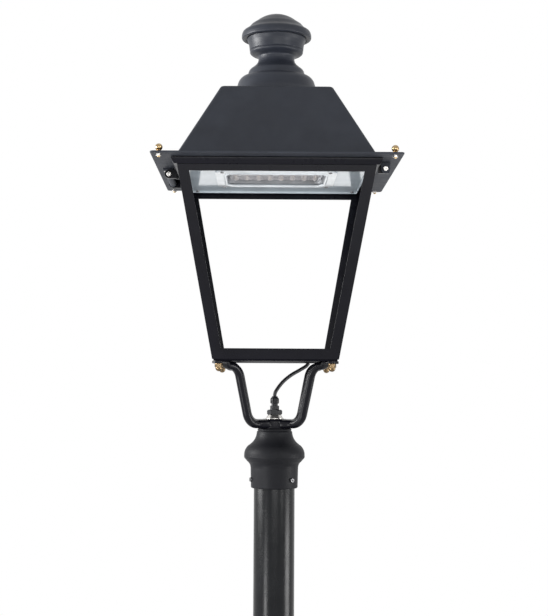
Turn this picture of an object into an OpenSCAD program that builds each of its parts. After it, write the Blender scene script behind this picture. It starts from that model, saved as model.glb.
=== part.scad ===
// Garden light: a four-sided lantern with an LED ceiling on a round steel post.
// Millimetres. +Z is up, the front faces -Y and the origin is the centre of the
// underside of the base plate.

/* [Base plate] */
// Side of the square plate on the ground
base_w = 280; // [200:1:360]
// Thickness of the base plate
base_t = 12; // [8:0.5:20]
// Distance between two anchor holes along a side
anchor_spacing = 220; // [150:1:300]
// Diameter of an anchor hole
anchor_d = 18; // [10:0.5:24]
// Diameter of the supply cable's way in
cable_hole_d = 50; // [20:1:60]

/* [Post] */
// Outer diameter of the post
post_d = 76; // [60:0.5:90]
// Wall of the post
post_wall = 3; // [2:0.1:5]
// Length of the post above the base plate
post_len = 1160; // [600:1:3000]

/* [Collar] */
// How far the collar reaches down over the post
socket_depth = 60; // [45:1:90]
// Height of the shaped part above the post's end
collar_rise = 50; // [44:0.5:70]
// Wall of the socket round the post
socket_wall = 5.2; // [4:0.1:8]
// How far the bulge stands out from the socket
bulge_out = 13; // [8:0.5:18]
// Diameter of the collar's seat for the cradle
collar_top_d = 60; // [50:0.5:70]
// Thread diameter of a set screw in the collar
set_screw_d = 8; // [5:0.5:10]
// Height of the set screws above the collar's lower edge
set_screw_z = 16; // [10:0.5:30]

/* [Cradle] */
// Diameter of the cradle's hub
hub_d = 62; // [54:0.5:70]
// Height of the hub
hub_h = 18; // [17:0.5:24]
// Diameter of an arm
arm_d = 16.4; // [12:0.1:17]
// Lean of an arm from the vertical, in its own plane
arm_lean = 15.7; // [10:0.1:25]
// Distance from the axis to where the arm's line meets the hub's mid height
arm_foot = 67.2; // [56:0.1:80]
// Bend radius at the foot of an arm
foot_bend_r = 26; // [20:0.5:32]
// Bend radius at the head of an arm
head_bend_r = 20; // [16:0.5:24]
// Width of the flat pad at an arm's end
pad_w = 24; // [18:0.5:28]
// Thickness of the pad
pad_t = 5; // [4:0.5:8]
// Height from the top of the hub to the top of the pads
cradle_rise = 106; // [90:1:140]
// Bolt diameter at a pad
stud_d = 8; // [6:0.5:10]
// Distance from the frame's outer faces to a pad bolt
stud_inset = 11.9; // [10:0.1:18]

/* [Cable gland] */
// Diameter of the hollow nipple through the hub
nipple_d = 18; // [14:0.5:22]
// Bore of the nipple
nipple_bore_d = 11; // [8:0.5:12]
// Width across flats of the hub nut
hub_nut_af = 24.5; // [22:0.5:30]
// Thickness of the hub nut
hub_nut_t = 9.5; // [6:0.5:12]
// Height of the cone washer under the hub nut
cone_washer_t = 7.5; // [5:0.5:10]
// Width across flats of the gland's body
gland_af = 14.5; // [13:0.5:18]
// Diameter of the gland's dome nut
dome_d = 16.2; // [14:0.1:20]
// Height of the dome nut
dome_h = 13.5; // [10:0.5:18]
// Diameter of the supply lead
lead_d = 6.8; // [5:0.1:8]

/* [Frame] */
// Outer width of the frame at its foot
frame_foot_w = 227; // [215:1:260]
// Outer width of the frame under its lip
frame_head_w = 351; // [330:1:358]
// Height from the frame's foot to its lip
frame_h = 340; // [280:1:420]
// Visible width of a corner bar
bar_w = 19.5; // [14:0.5:24]
// Wall of the corner bars
bar_t = 3; // [2:0.1:5]
// Height of the bottom rail
foot_rail_h = 19; // [14:0.5:26]
// Height of the top rail under the lip
head_rail_h = 11; // [9:0.5:16]
// Wall of the rails
rail_t = 4; // [3:0.1:5]
// Width of the flange inside the bottom rail
foot_flange_w = 26; // [23:0.5:34]
// Height of the lip round the frame's head
lip_h = 11; // [9:0.5:14]
// How far the lip stands out at its top
lip_out = 10; // [7:0.5:12]
// How far the lip stands out at its lower edge
lip_step = 5; // [3:0.5:6]
// Thickness of the plate that closes the frame below
floor_t = 3; // [2:0.5:5]

/* [LED ceiling] */
// Gap between the reflector tray and the rail round it
tray_gap = 5.5; // [4.5:0.5:10]
// Sheet of the reflector tray
tray_t = 2; // [1:0.1:3]
// Height of the tray's turned-down rim
tray_rim_h = 6; // [3:0.5:8]
// Depth of the tray's underside below the top of the lip
tray_drop = 8; // [7:0.5:9]
// Length of the light opening, along X
window_l = 183; // [160:1:190]
// Width of the light opening, along Y
window_w = 140; // [120:1:146]
// Corner radius of the light opening
window_r = 18; // [10:0.5:24]
// Depth of the cavity above the tray's underside
cavity_h = 12; // [10:0.5:16]
// Width of the bezel at each end of the light opening
bezel_end = 20.5; // [18:0.5:24]
// Width of the bezel along each side of the light opening
bezel_side = 25; // [21:0.5:29]
// Radius of the bezel's rolled edge
bead_r = 2.4; // [1.5:0.1:3]
// Number of cooling fins
fin_count = 15; // [9:1:19]
// Height of the cooling fins
fin_h = 26; // [15:0.5:32]
// Thickness of a cooling fin
fin_t = 2.6; // [1.5:0.1:4]
// Length of the driver
driver_l = 150; // [110:1:170]
// Width of the driver
driver_w = 62; // [45:1:80]
// Height of the driver
driver_h = 30; // [20:1:36]

/* [Roof cover] */
// How far the flange stands out past the pyramid's foot
flange_out = 41.75; // [38:0.05:60]
// Sheet of the roof cover
roof_t = 3; // [2:0.1:4]
// Corner radius of the flange
flange_r = 7; // [3:0.5:12]
// How far the pyramid's foot stands out past the frame's head
roof_out = 2.75; // [1.5:0.05:6]
// Width of the pyramid at its flat top
roof_head_w = 202; // [180:1:230]
// Height of the pyramid
roof_h = 142; // [120:1:180]
// Radius of the pyramid's ridges and top edge
ridge_r = 5; // [4:0.5:8]
// Thickness of the gasket under the flange
gasket_t = 1.2; // [1:0.1:3]
// Diameter of a corner ball
ball_d = 13; // [10:0.5:18]
// Distance from the flange's edges to the middle of a corner ball
ball_inset = 15; // [10:0.5:20]

/* [Chimney] */
// Diameter of the chimney's foot
chimney_foot_d = 160; // [150:1:176]
// Diameter of the chimney's neck
neck_d = 68.4; // [60:0.1:76]
// Diameter of the cup under the cap
cup_d = 102; // [92:0.5:110]
// Diameter of the cap
cap_d = 132; // [122:0.5:140]
// Wall of the chimney and its cap
chimney_wall = 3; // [2:0.1:4]
// Diameter of the drum under the cap
crown_d = 112; // [104:0.5:118]
// Height of the chimney from the roof to the cap
chimney_h = 113.5; // [100:0.5:130]
// Height of the cap
cap_h = 46.5; // [40:0.5:54]
// Diameter of the rod that ties the chimney down
rod_d = 8; // [6:0.5:10]

/* [Hinge and latch] */
// Diameter of the hinge pin
pin_d = 6; // [4:0.5:7]
// Length of the hinge barrel
barrel_l = 108; // [60:1:140]
// Outer diameter of the hinge barrel
barrel_d = 13; // [11:0.5:14]
// Thickness of a hinge ear on the frame
ear_t = 6; // [4:0.5:10]
// Radius of a hinge ear
ear_r = 8; // [7:0.5:8.5]
// Depth of the pin's centre below the flange
pin_drop = 11.5; // [11.5:0.1:14]
// Distance from the lip to the pin's centre
pin_out = 12; // [10:0.1:13]
// Width of the latch ear
latch_w = 16.8; // [14:0.1:18]
// Distance from the lip's front edge to the latch ear's front face
latch_inset = 52.5; // [26:0.5:85]
// Thread diameter of the lock screw
lock_d = 5; // [4:0.5:6]

/* [Fits] */
// Radial running clearance of the hinge pin
pin_clearance = 0.06; // [0.03:0.01:0.1]
// Radial clearance of a fixed bolt in its hole
bolt_clearance = 0.2; // [0.1:0.05:0.4]
// Radial clearance of the collar on the post
socket_clearance = 0.3; // [0.1:0.05:0.5]
// Gap between pieces that pass each other when the cover swings
swing_gap = 0.3; // [0.2:0.05:0.6]

/* [Hidden] */

$fn = 64;
// How far a cutter runs past the face that it opens
past = 1;
// How far two forms of one piece run into each other
overlap = 0.5;
// Side on a circle that carries a hexagon's flats: across flats to across corners
hex = 2 / sqrt(3);

// Heights from the ground up
post_z = base_t;
post_top = post_z + post_len;
collar_z = post_top - socket_depth;
collar_top = post_top + collar_rise;
hub_top = collar_top + hub_h;
washer_top = hub_top + cone_washer_t;
hub_nut_top = washer_top + hub_nut_t;
pad_top = hub_top + cradle_rise;
pad_z = pad_top - pad_t;
frame_z = pad_top + floor_t;
lip_z = frame_z + frame_h;
lip_top = lip_z + lip_h;
flange_z = lip_top + swing_gap + gasket_t;
flange_top = flange_z + roof_t;
roof_top = flange_top + roof_h;
cap_seat = roof_top + chimney_h;

// Frame: half width of its outer faces at a height
frame_taper = (frame_head_w - frame_foot_w) / 2 / frame_h;
function frame_half(z) = frame_foot_w / 2 + (z - frame_z) * frame_taper;
post_foot_z = frame_z + foot_rail_h;
post_head_z = lip_z - head_rail_h;
lip_half = frame_head_w / 2 + lip_out;
lip_edge_h = 2;
roof_foot_w = frame_head_w + 2 * roof_out;
flange_w = roof_foot_w + 2 * flange_out;
tray_w = 2 * (frame_half(lip_z) - rail_t - tray_gap);
ledge_w = 20;
ledge_half = tray_w / 2 - ledge_w;
ledge_t = 3;
tray_screw_at = ledge_half + 9;
foot_flange_t = 3;

// LED ceiling
tray_z = lip_top - tray_drop;
tray_top = tray_z + tray_t;
bezel_t = 2;
bezel_z = tray_z - bezel_t;
bezel_r = 24;
bezel_l = window_l + 2 * bezel_end;
bezel_w = window_w + 2 * bezel_side;
bezel_screw_x = bezel_l / 2 - 13;
bezel_screw_y = bezel_w / 2 - 11;
cavity_top = tray_z + cavity_h;
housing_edge_t = 4;
housing_t = 5;
housing_top = cavity_top + housing_t;
housing_l = window_l + 20;
housing_w = window_w + 20;
fin_top = housing_top + fin_h;
board_t = 1.6;
lens_t = 2;
lens_r = 6.5;
gear_t = 2;
gear_gap = 6;
gear_z = fin_top + gear_gap;
gear_side_gap = 5.5;
gear_l = housing_l + 2 * (gear_side_gap + gear_t);
gear_w = driver_w + 18;
gear_foot = 12;

// Hinge and latch
pin_x = -(lip_half + pin_out);
pin_z = flange_z - pin_drop;
leaf_t = 3;
leaf_w = 24;
rivet_h = 1.2;
pin_half = barrel_l / 2 + swing_gap + ear_t;
latch_x = lip_half + latch_w / 2 + 1.2;
latch_y = lip_half - latch_inset;
latch_t = 3;
lug_t = 8;
lug_gap = 5;

// Bolts under the lantern and on the roof
stud_at = frame_foot_w / 2 - stud_inset;
stud_washer_t = 1.2;
stud_head_t = 5;
acorn_h = 13;
acorn_af = 13;
ball_at = flange_w / 2 - ball_inset;
ball_stem_d = 5;
rod_grip = 17;
drip_gap = 2;
ball_nut_af = 8;
ball_nut_t = 4;

// Set screws of the collar: turns about the axis, and how far they stand out of the wall
set_screw_turns = [-45, 75, 195];
set_screw_out = 4;

// Arm: its path in its own plane, measured from the axis and from the hub's underside
arm_turn = 90 - arm_lean;
arm_low = hub_h / 2;
pad_rise = hub_h + cradle_rise;
arm_high = pad_rise - arm_d / 2;
arm_head = arm_foot + (arm_high - arm_low) * tan(arm_lean);
foot_tangent = foot_bend_r * tan(arm_turn / 2);
head_tangent = head_bend_r * tan(arm_turn / 2);
pad_at = stud_at * sqrt(2);
pad_root = arm_head + head_tangent;
pad_flat = pad_at - pad_w / 2 + 2;

// Supply lead: from the gland up to the grommet in the floor plate
grommet_x = 64;
grommet_y = 29;
grommet_d = 18;
grommet_lip = 1.4;
gland_z = hub_nut_top;
gland_hex_h = 7.5;
gland_neck_h = 4;
dome_z = gland_z + gland_hex_h + gland_neck_h;
dome_top = dome_z + dome_h;
lead_end_z = pad_top - grommet_lip;
LEAD_ROUTE = [
    [0, 0, 0], [0.3, 0.1, 5], [2.5, 1, 10], [8.5, 3.8, 18.8], [16, 7.2, 27.6], [25, 11.3, 35.5],
    [35, 15.8, 42.5], [45.5, 20.6, 48.5], [54, 24.5, 53.5], [60.5, 27.4, 58]];

// Points of a level square with rounded corners, seen from above in turning order
function square_ring(half, z, r = 0, steps = 4) =
    r <= 0 ? [for (q = [0:3]) [sqrt(2) * half * cos(225 + 90 * q), sqrt(2) * half * sin(225 + 90 * q), z]]
           : [for (q = [0:3], j = [0:steps])
                 let (turn = 180 + 90 * q + j * 90 / steps)
                 [sqrt(2) * (half - r) * cos(225 + 90 * q) + r * cos(turn),
                  sqrt(2) * (half - r) * sin(225 + 90 * q) + r * sin(turn), z]];

// Points of an arc in a flat outline
function arc(cx, cy, r, from, to, steps = 6) =
    [for (j = [0:steps]) let (turn = from + (to - from) * j / steps) [cx + r * cos(turn), cy + r * sin(turn)]];

// Solid lofted through rings of equally many points, from the lowest to the highest
module loft(rings) {
    n = len(rings[0]);
    last = (len(rings) - 1) * n;
    points = [for (ring = rings) each ring];
    sides = [for (k = [0:len(rings) - 2], i = [0:n - 1])
        [k * n + i, (k + 1) * n + i, (k + 1) * n + (i + 1) % n, k * n + (i + 1) % n]];
    polyhedron(points = points,
               faces = concat([[for (i = [0:n - 1]) i]], [[for (i = [n - 1:-1:0]) last + i]], sides),
               convexity = 6);
}

// Square pyramid stump between two heights
module stump(half_low, z_low, half_high, z_high) {
    loft([square_ring(half_low, z_low), square_ring(half_high, z_high)]);
}

// Square block on the axis
module block(half, z_low, z_high) {
    translate([-half, -half, z_low])
        cube([2 * half, 2 * half, z_high - z_low]);
}

// Flat rectangle with round corners
module round_rect(l, w, r) {
    union() {
        square([l - 2 * r, w], center = true);
        square([l, w - 2 * r], center = true);
        for (sx = [-1, 1], sy = [-1, 1])
            translate([sx * (l / 2 - r), sy * (w / 2 - r)])
                circle(r);
    }
}

// Copies at the four corners of a square
module at_corners(distance) {
    for (sx = [-1, 1], sy = [-1, 1])
        translate([sx * distance, sy * distance, 0])
            children();
}

// Hexagon prism standing on z = 0
module hex_bar(across_flats, h) {
    cylinder(d = across_flats * hex, h = h, $fn = 6);
}

// Bar along Y, centred in Y
module bar_y(r, l) {
    rotate([90, 0, 0])
        cylinder(r = r, h = l, center = true);
}

module base_plate() {
    color("#2b2d31")
        difference() {
            linear_extrude(base_t)
                round_rect(base_w, base_w, 12);
            at_corners(anchor_spacing / 2)
                translate([0, 0, -past])
                    cylinder(d = anchor_d, h = base_t + 2 * past);
            translate([0, 0, -past])
                cylinder(d = cable_hole_d, h = base_t + 2 * past);
        }
}

module post() {
    color("#1f2124")
        translate([0, 0, post_z])
            difference() {
                cylinder(d = post_d, h = post_len);
                translate([0, 0, -past])
                    cylinder(r = post_d / 2 - post_wall, h = post_len + 2 * past);
            }
}

// Collar: a socket over the post, a bulge with a bead, and a neck up to the cradle
module collar() {
    socket_r = post_d / 2 + socket_clearance;
    skirt_r = socket_r + socket_wall;
    bulge_r = skirt_r + bulge_out;
    seat_r = collar_top_d / 2;
    hollow_r = post_d / 2 - post_wall;
    // Crest of the bulge sits just below the end of the post
    crest_z = post_top - 2;
    ledge_z = crest_z + 22;
    web_z = collar_top - 12;
    outer = concat(
        [[skirt_r, collar_z + 1.5], [skirt_r + 0.8, crest_z - 20]],
        arc(skirt_r + 14.5, crest_z - 20, 13.5, 176, 125, 5),
        arc(bulge_r - 4.6, crest_z, 4.6, -48, 0, 4),
        arc(bulge_r - 23, crest_z + 3.5, 23, 6, 52, 6),
        [[seat_r + 16.2, ledge_z + 0.2]],
        arc(seat_r + 32, collar_top - 5, 29, 235, 182, 7),
        [[seat_r + 1.2, collar_top - 3.9], [seat_r + 1.2, collar_top - 3],
         [seat_r + 1.8, collar_top - 2.4], [seat_r + 1.4, collar_top - 0.8],
         [seat_r + 0.6, collar_top]]);
    inner = [[nipple_d / 2 + bolt_clearance, collar_top], [nipple_d / 2 + bolt_clearance, web_z],
             [seat_r - 8, web_z], [hollow_r, post_top + 8], [hollow_r, post_top],
             [socket_r, post_top], [socket_r, collar_z + 1], [socket_r + 1, collar_z],
             [skirt_r - 1.5, collar_z]];
    color("#34363a")
        difference() {
            rotate_extrude()
                polygon(concat(outer, inner));
            for (turn = set_screw_turns)
                rotate([0, 0, turn])
                    translate([socket_r - 2, 0, collar_z + set_screw_z])
                        rotate([0, 90, 0])
                            cylinder(d = set_screw_d + 2 * bolt_clearance, h = socket_wall + bulge_out);
        }
}

// Three set screws with hexagon sockets hold the collar on the post
module set_screws() {
    tip = post_d / 2 + 0.2;
    length = socket_wall + set_screw_out;
    color("#8d9096")
        for (turn = set_screw_turns)
            rotate([0, 0, turn])
                translate([tip, 0, collar_z + set_screw_z])
                    rotate([0, 90, 0])
                        difference() {
                            union() {
                                cylinder(d = set_screw_d, h = length - 0.6);
                                translate([0, 0, length - 0.6])
                                    cylinder(d1 = set_screw_d, d2 = set_screw_d - 1.2, h = 0.6);
                            }
                            translate([0, 0, length - 3])
                                hex_bar(set_screw_d / 2, 3 + past);
                        }
}

// One arm in the XZ plane: out of the hub, up, out again and flattened to a pad
module arm() {
    straight = (arm_head - head_tangent * sin(arm_lean)) - (arm_foot + foot_tangent * sin(arm_lean));
    translate([hub_d / 2 - 8, 0, arm_low])
        rotate([0, 90, 0])
            cylinder(d = arm_d, h = arm_foot - foot_tangent - hub_d / 2 + 8);
    translate([arm_foot - foot_tangent, 0, arm_low + foot_bend_r])
        rotate([90, 0, 0])
            rotate([0, 0, -90])
                rotate_extrude(angle = arm_turn)
                    translate([foot_bend_r, 0])
                        circle(d = arm_d);
    // The straight is a hair thicker and runs into both bends, so that the arm is one solid
    translate([arm_foot + foot_tangent * sin(arm_lean), 0, arm_low + foot_tangent * cos(arm_lean)])
        rotate([0, arm_lean, 0])
            translate([0, 0, -overlap])
                cylinder(d = arm_d + 0.1, h = straight / sin(arm_lean) + 2 * overlap);
    translate([pad_root, 0, arm_high - head_bend_r])
        rotate([90, 0, 0])
            rotate([0, 0, 90])
                rotate_extrude(angle = arm_turn)
                    translate([head_bend_r, 0])
                        circle(d = arm_d);
    arm_flattening();
    translate([0, 0, pad_rise - pad_t])
        linear_extrude(pad_t)
            union() {
                translate([pad_flat, -pad_w / 2])
                    square([pad_at - pad_flat, pad_w]);
                translate([pad_at, 0])
                    circle(d = pad_w);
            }
}

// Round bar hammered out to the flat pad: its top stays level while the section spreads
module arm_flattening() {
    steps = 5;
    sides = 16;
    // A ring across the bar at each step, from the round bend to the flat pad
    points = [for (k = [0:steps], i = [0:sides - 1])
        let (s = k / steps, ease = s * s * (3 - 2 * s), power = 1 - 0.7 * ease,
             half_w = (arm_d + (pad_w - arm_d) * ease) / 2,
             half_t = (arm_d + (pad_t - arm_d) * ease) / 2,
             turn = 360 * i / sides, c = cos(turn), d = sin(turn))
        [pad_root - overlap + (pad_flat - pad_root + 2 * overlap) * s,
         half_w * sign(d) * pow(abs(d), power),
         pad_rise - half_t + half_t * sign(c) * pow(abs(c), power)]];
    last = steps * sides;
    polyhedron(points = points,
               faces = concat([[for (i = [sides - 1:-1:0]) i]], [[for (i = [0:sides - 1]) last + i]],
                              [for (k = [0:steps - 1], i = [0:sides - 1])
                                  [k * sides + i, k * sides + (i + 1) % sides,
                                   (k + 1) * sides + (i + 1) % sides, (k + 1) * sides + i]]),
               convexity = 4);
}

module cradle() {
    color("#1e2023")
        translate([0, 0, collar_top])
            difference() {
                union() {
                    cylinder(d = hub_d - 3, h = hub_h);
                    translate([0, 0, 2])
                        cylinder(d = hub_d, h = hub_h - 4);
                    for (k = [0:3])
                        rotate([0, 0, 45 + 90 * k])
                            arm();
                }
                translate([0, 0, -past])
                    cylinder(r = nipple_d / 2 + bolt_clearance, h = hub_h + 2 * past);
                at_corners(stud_at)
                    translate([0, 0, pad_rise - pad_t - past])
                        cylinder(r = stud_d / 2 + bolt_clearance, h = pad_t + 2 * past);
            }
}

// Hollow threaded tube that clamps collar and hub and carries the lead
module hub_nipple() {
    flange_t = 5;
    under = collar_top - 12 - flange_t;
    color("#b9bcc0")
        difference() {
            union() {
                translate([0, 0, under])
                    cylinder(d = nipple_d, h = hub_nut_top - under);
                translate([0, 0, under])
                    hex_bar(nipple_d + 8, flange_t);
            }
            translate([0, 0, under - past])
                cylinder(d = nipple_bore_d, h = hub_nut_top - under + 2 * past);
        }
}

module hub_washer() {
    color("#c9cbce")
        translate([0, 0, hub_top])
            difference() {
                union() {
                    cylinder(d = 33.6, h = 1.6);
                    translate([0, 0, 1.6])
                        cylinder(d1 = 31.6, d2 = 24.6, h = cone_washer_t - 1.6);
                }
                translate([0, 0, -past])
                    cylinder(r = nipple_d / 2 + bolt_clearance, h = cone_washer_t + 2 * past);
            }
}

module hub_nut() {
    color("#26282b")
        translate([0, 0, washer_top])
            difference() {
                intersection() {
                    hex_bar(hub_nut_af, hub_nut_t);
                    union() {
                        cylinder(d1 = hub_nut_af, d2 = hub_nut_af * hex, h = 2);
                        translate([0, 0, 2])
                            cylinder(d = hub_nut_af * hex, h = hub_nut_t - 4);
                        translate([0, 0, hub_nut_t - 2])
                            cylinder(d1 = hub_nut_af * hex, d2 = hub_nut_af, h = 2);
                    }
                }
                translate([0, 0, -past])
                    cylinder(r = nipple_d / 2 + bolt_clearance, h = hub_nut_t + 2 * past);
            }
}

// Gland body: a hexagon and a neck on top of the nipple, clear of the hub nut's bore
module gland_body() {
    color("#232528")
        translate([0, 0, gland_z])
            difference() {
                union() {
                    cylinder(d = nipple_d - 1, h = 1.5);
                    translate([0, 0, 1.5])
                        hex_bar(gland_af, gland_hex_h - 1.5);
                    translate([0, 0, gland_hex_h])
                        cylinder(d = gland_af - 2.5, h = gland_neck_h);
                }
                translate([0, 0, -past])
                    cylinder(d = lead_d + 1.4, h = gland_hex_h + gland_neck_h + 2 * past);
            }
}

// Dome nut with a ribbed grip and a rounded crown
module gland_dome_nut() {
    grip_h = dome_h * 0.68;
    crown_r = lead_d / 2 + 1.8;
    color("#232528")
        translate([0, 0, dome_z])
            difference() {
                union() {
                    rotate_extrude()
                        polygon([[0, 0], [dome_d / 2 - 1, 0], [dome_d / 2 - 0.8, grip_h],
                                 [dome_d / 2 - 1.8, grip_h + 1.8], [crown_r, dome_h], [0, dome_h]]);
                    for (k = [0:11])
                        rotate([0, 0, 30 * k])
                            translate([dome_d / 2 - 1.6, -0.9, 0.8])
                                cube([1.6, 1.8, grip_h - 0.8]);
                }
                translate([0, 0, dome_h - 5])
                    cylinder(r = crown_r - 0.6, h = 5 + past);
            }
}

// Rubber ring that grips the lead in the dome nut
module gland_seal() {
    color("#141517")
        translate([0, 0, dome_top - 5])
            cylinder(r = lead_d / 2 + 1.2, h = 5);
}

// Unit vector
function unit(v) = v / norm(v);
// Direction of the lead at one of its points, from its neighbours
function lead_way(points, i) =
    i == 0 || i == len(points) - 1 ? [0, 0, 1] : unit(points[i + 1] - points[i - 1]);

module supply_lead() {
    sides = 10;
    route = concat([for (p = LEAD_ROUTE) p + [0, 0, dome_top]], [[grommet_x, grommet_y, lead_end_z]]);
    side = unit([-grommet_y, grommet_x, 0]);
    points = [for (k = [0:len(route) - 1], i = [0:sides - 1])
        let (up = cross(lead_way(route, k), side), turn = 360 * i / sides)
        route[k] + lead_d / 2 * (cos(turn) * side + sin(turn) * up)];
    last = (len(route) - 1) * sides;
    color("#1a1b1d")
        polyhedron(points = points,
                   faces = concat([[for (i = [0:sides - 1]) i]], [[for (i = [sides - 1:-1:0]) last + i]],
                                  [for (k = [0:len(route) - 2], i = [0:sides - 1])
                                      [k * sides + i, (k + 1) * sides + i,
                                       (k + 1) * sides + (i + 1) % sides, k * sides + (i + 1) % sides]]),
                   convexity = 6);
}

// Rubber plug in the floor plate, with a lip above and below
module lead_grommet() {
    color("#141517")
        translate([grommet_x, grommet_y, 0])
            union() {
                translate([0, 0, pad_top - grommet_lip])
                    cylinder(d = grommet_d, h = grommet_lip);
                translate([0, 0, pad_top])
                    cylinder(d = grommet_d - 4, h = floor_t);
                translate([0, 0, frame_z])
                    cylinder(d1 = grommet_d, d2 = grommet_d - 5, h = 3);
            }
}

module bottom_plate() {
    half = frame_foot_w / 2 - 2.5;
    color("#202226")
        difference() {
            block(half, pad_top, frame_z);
            at_corners(stud_at)
                translate([0, 0, pad_top - past])
                    cylinder(r = stud_d / 2 + bolt_clearance, h = floor_t + 2 * past);
            translate([grommet_x, grommet_y, pad_top - past])
                cylinder(d = grommet_d - 4, h = floor_t + 2 * past);
        }
}

// Bottom rail with the flange that the cradle bolts clamp
module bottom_ring() {
    inner_low = frame_half(frame_z) - rail_t;
    inner_high = frame_half(post_foot_z) - rail_t;
    color("#1b1d20")
        difference() {
            stump(frame_half(frame_z), frame_z, frame_half(post_foot_z), post_foot_z);
            stump(inner_low + frame_taper * foot_flange_t, frame_z + foot_flange_t,
                  inner_high + frame_taper * past, post_foot_z + past);
            block(frame_foot_w / 2 - foot_flange_w, frame_z - past, frame_z + foot_flange_t + past);
            at_corners(stud_at)
                translate([0, 0, frame_z - past])
                    cylinder(r = stud_d / 2 + bolt_clearance, h = foot_flange_t + 2 * past);
        }
}

// Square ring beside the corner of the frame, between two distances inside its outer faces
function angle_ring(outside, inside, z) =
    let (near = frame_half(z) - outside, far = frame_half(z) - inside)
    [[far, far, z], [near, far, z], [near, near, z], [far, near, z]];

// Angle bar at one corner of the frame, leaning with both of its faces
module corner_post(turn) {
    color("#1b1d20")
        rotate([0, 0, turn])
            difference() {
                loft([angle_ring(0, bar_w, post_foot_z), angle_ring(0, bar_w, post_head_z)]);
                loft([angle_ring(bar_t, bar_w + past, post_foot_z - past),
                      angle_ring(bar_t, bar_w + past, post_head_z + past)]);
            }
}

// Top rail with its lip, the ledge for the tray, two hinge ears and the latch lug
module top_ring() {
    inner = frame_half(post_head_z) - rail_t;
    color("#1b1d20")
        difference() {
            union() {
                stump(frame_half(post_head_z), post_head_z, frame_half(lip_z), lip_z);
                stump(frame_head_w / 2 + lip_step, lip_z, lip_half, lip_top - lip_edge_h);
                block(lip_half, lip_top - lip_edge_h, lip_top);
                for (side = [-1, 1])
                    hinge_ear(side);
                latch_lug();
            }
            stump(inner - frame_taper * past, post_head_z - past,
                  inner + frame_taper * (tray_top - post_head_z), tray_top);
            block(ledge_half, post_head_z, lip_top + past);
            block(frame_half(lip_z) - rail_t, tray_top + ledge_t, lip_top + past);
            translate([pin_x, 0, pin_z])
                bar_y(pin_d / 2 + pin_clearance, 2 * pin_half + 2 * past);
            translate([latch_x, -latch_y, pin_z])
                bar_y(lock_d / 2 + bolt_clearance, 60);
            at_corners(tray_screw_at)
                translate([0, 0, tray_top - past])
                    cylinder(r = 2 + bolt_clearance, h = ledge_t + 2 * past);
        }
}

module hinge_ear(side) {
    y = side * (barrel_l / 2 + swing_gap + ear_t / 2);
    translate([pin_x, y, pin_z]) {
        bar_y(ear_r, ear_t);
        translate([0, -ear_t / 2, -ear_r])
            cube([pin_out + 2, ear_t, lip_top - 2 - pin_z + ear_r]);
    }
}

module latch_lug() {
    translate([lip_half - 3, -latch_y + latch_t + lug_gap, pin_z - 7])
        cube([latch_w + 3, lug_t, lip_top - 2 - pin_z + 7]);
}

// Studs: hexagon heads inside the frame, shanks down through flange, floor and pads
module cradle_studs() {
    head_z = frame_z + foot_flange_t;
    shank_z = pad_z - stud_washer_t - acorn_h + 4;
    color("#c9cbce")
        at_corners(stud_at)
            union() {
                translate([0, 0, head_z])
                    hex_bar(12, stud_head_t);
                translate([0, 0, shank_z])
                    cylinder(d = stud_d, h = head_z - shank_z);
            }
}

module stud_washers() {
    color("#c8a14e")
        at_corners(stud_at)
            translate([0, 0, pad_z - stud_washer_t])
                difference() {
                    cylinder(d = acorn_af + 2, h = stud_washer_t);
                    translate([0, 0, -past])
                        cylinder(r = stud_d / 2 + bolt_clearance, h = stud_washer_t + 2 * past);
                }
}

// Acorn nuts: a hexagon and a round crown below it
module acorn_nuts() {
    hex_h = 5.5;
    crown_r = acorn_af / 2 - 0.3;
    color("#d0a24a")
        at_corners(stud_at)
            translate([0, 0, pad_z - stud_washer_t])
                rotate([180, 0, 0])
                    difference() {
                        union() {
                            hex_bar(acorn_af, hex_h);
                            translate([0, 0, hex_h])
                                rotate_extrude()
                                    polygon(concat([[0, 0]], [[crown_r, 0]],
                                                   arc(0, acorn_h - hex_h - crown_r, crown_r, 0, 90, 8)));
                        }
                        translate([0, 0, -past])
                            cylinder(r = stud_d / 2 + bolt_clearance, h = acorn_h - 4 + past);
                    }
}

// Painted sheet with a turned-down rim, open in the middle for the light
module reflector_tray() {
    half = tray_w / 2;
    color("#c9ced6")
        difference() {
            block(half, tray_z - tray_rim_h, tray_top);
            block(half - tray_t, tray_z - tray_rim_h - past, tray_z);
            translate([0, 0, tray_z - past])
                linear_extrude(tray_t + 2 * past)
                    round_rect(window_l + 6, window_w + 6, window_r);
            at_corners(tray_screw_at)
                translate([0, 0, tray_z - past])
                    cylinder(r = 2 + bolt_clearance, h = tray_t + 2 * past);
            for (sx = [-1, 1], sy = [-1, 1])
                translate([sx * bezel_screw_x, sy * bezel_screw_y, tray_z - past])
                    cylinder(r = 2 + bolt_clearance, h = tray_t + 2 * past);
        }
}

// Pan-head screw with its head below z = 0 and its shank above
module pan_screw(shank_d, head_d, head_h, length) {
    difference() {
        union() {
            translate([0, 0, -head_h])
                cylinder(d1 = head_d - 1.2, d2 = head_d, h = head_h);
            cylinder(d = shank_d, h = length);
        }
        translate([0, 0, -head_h - past])
            hex_bar(head_d * 0.42, past + head_h * 0.6);
    }
}

module tray_screws() {
    color("#9a9da2")
        at_corners(tray_screw_at)
            translate([0, 0, tray_z])
                pan_screw(4, 8, 2.2, tray_t + ledge_t + 2);
}

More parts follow.
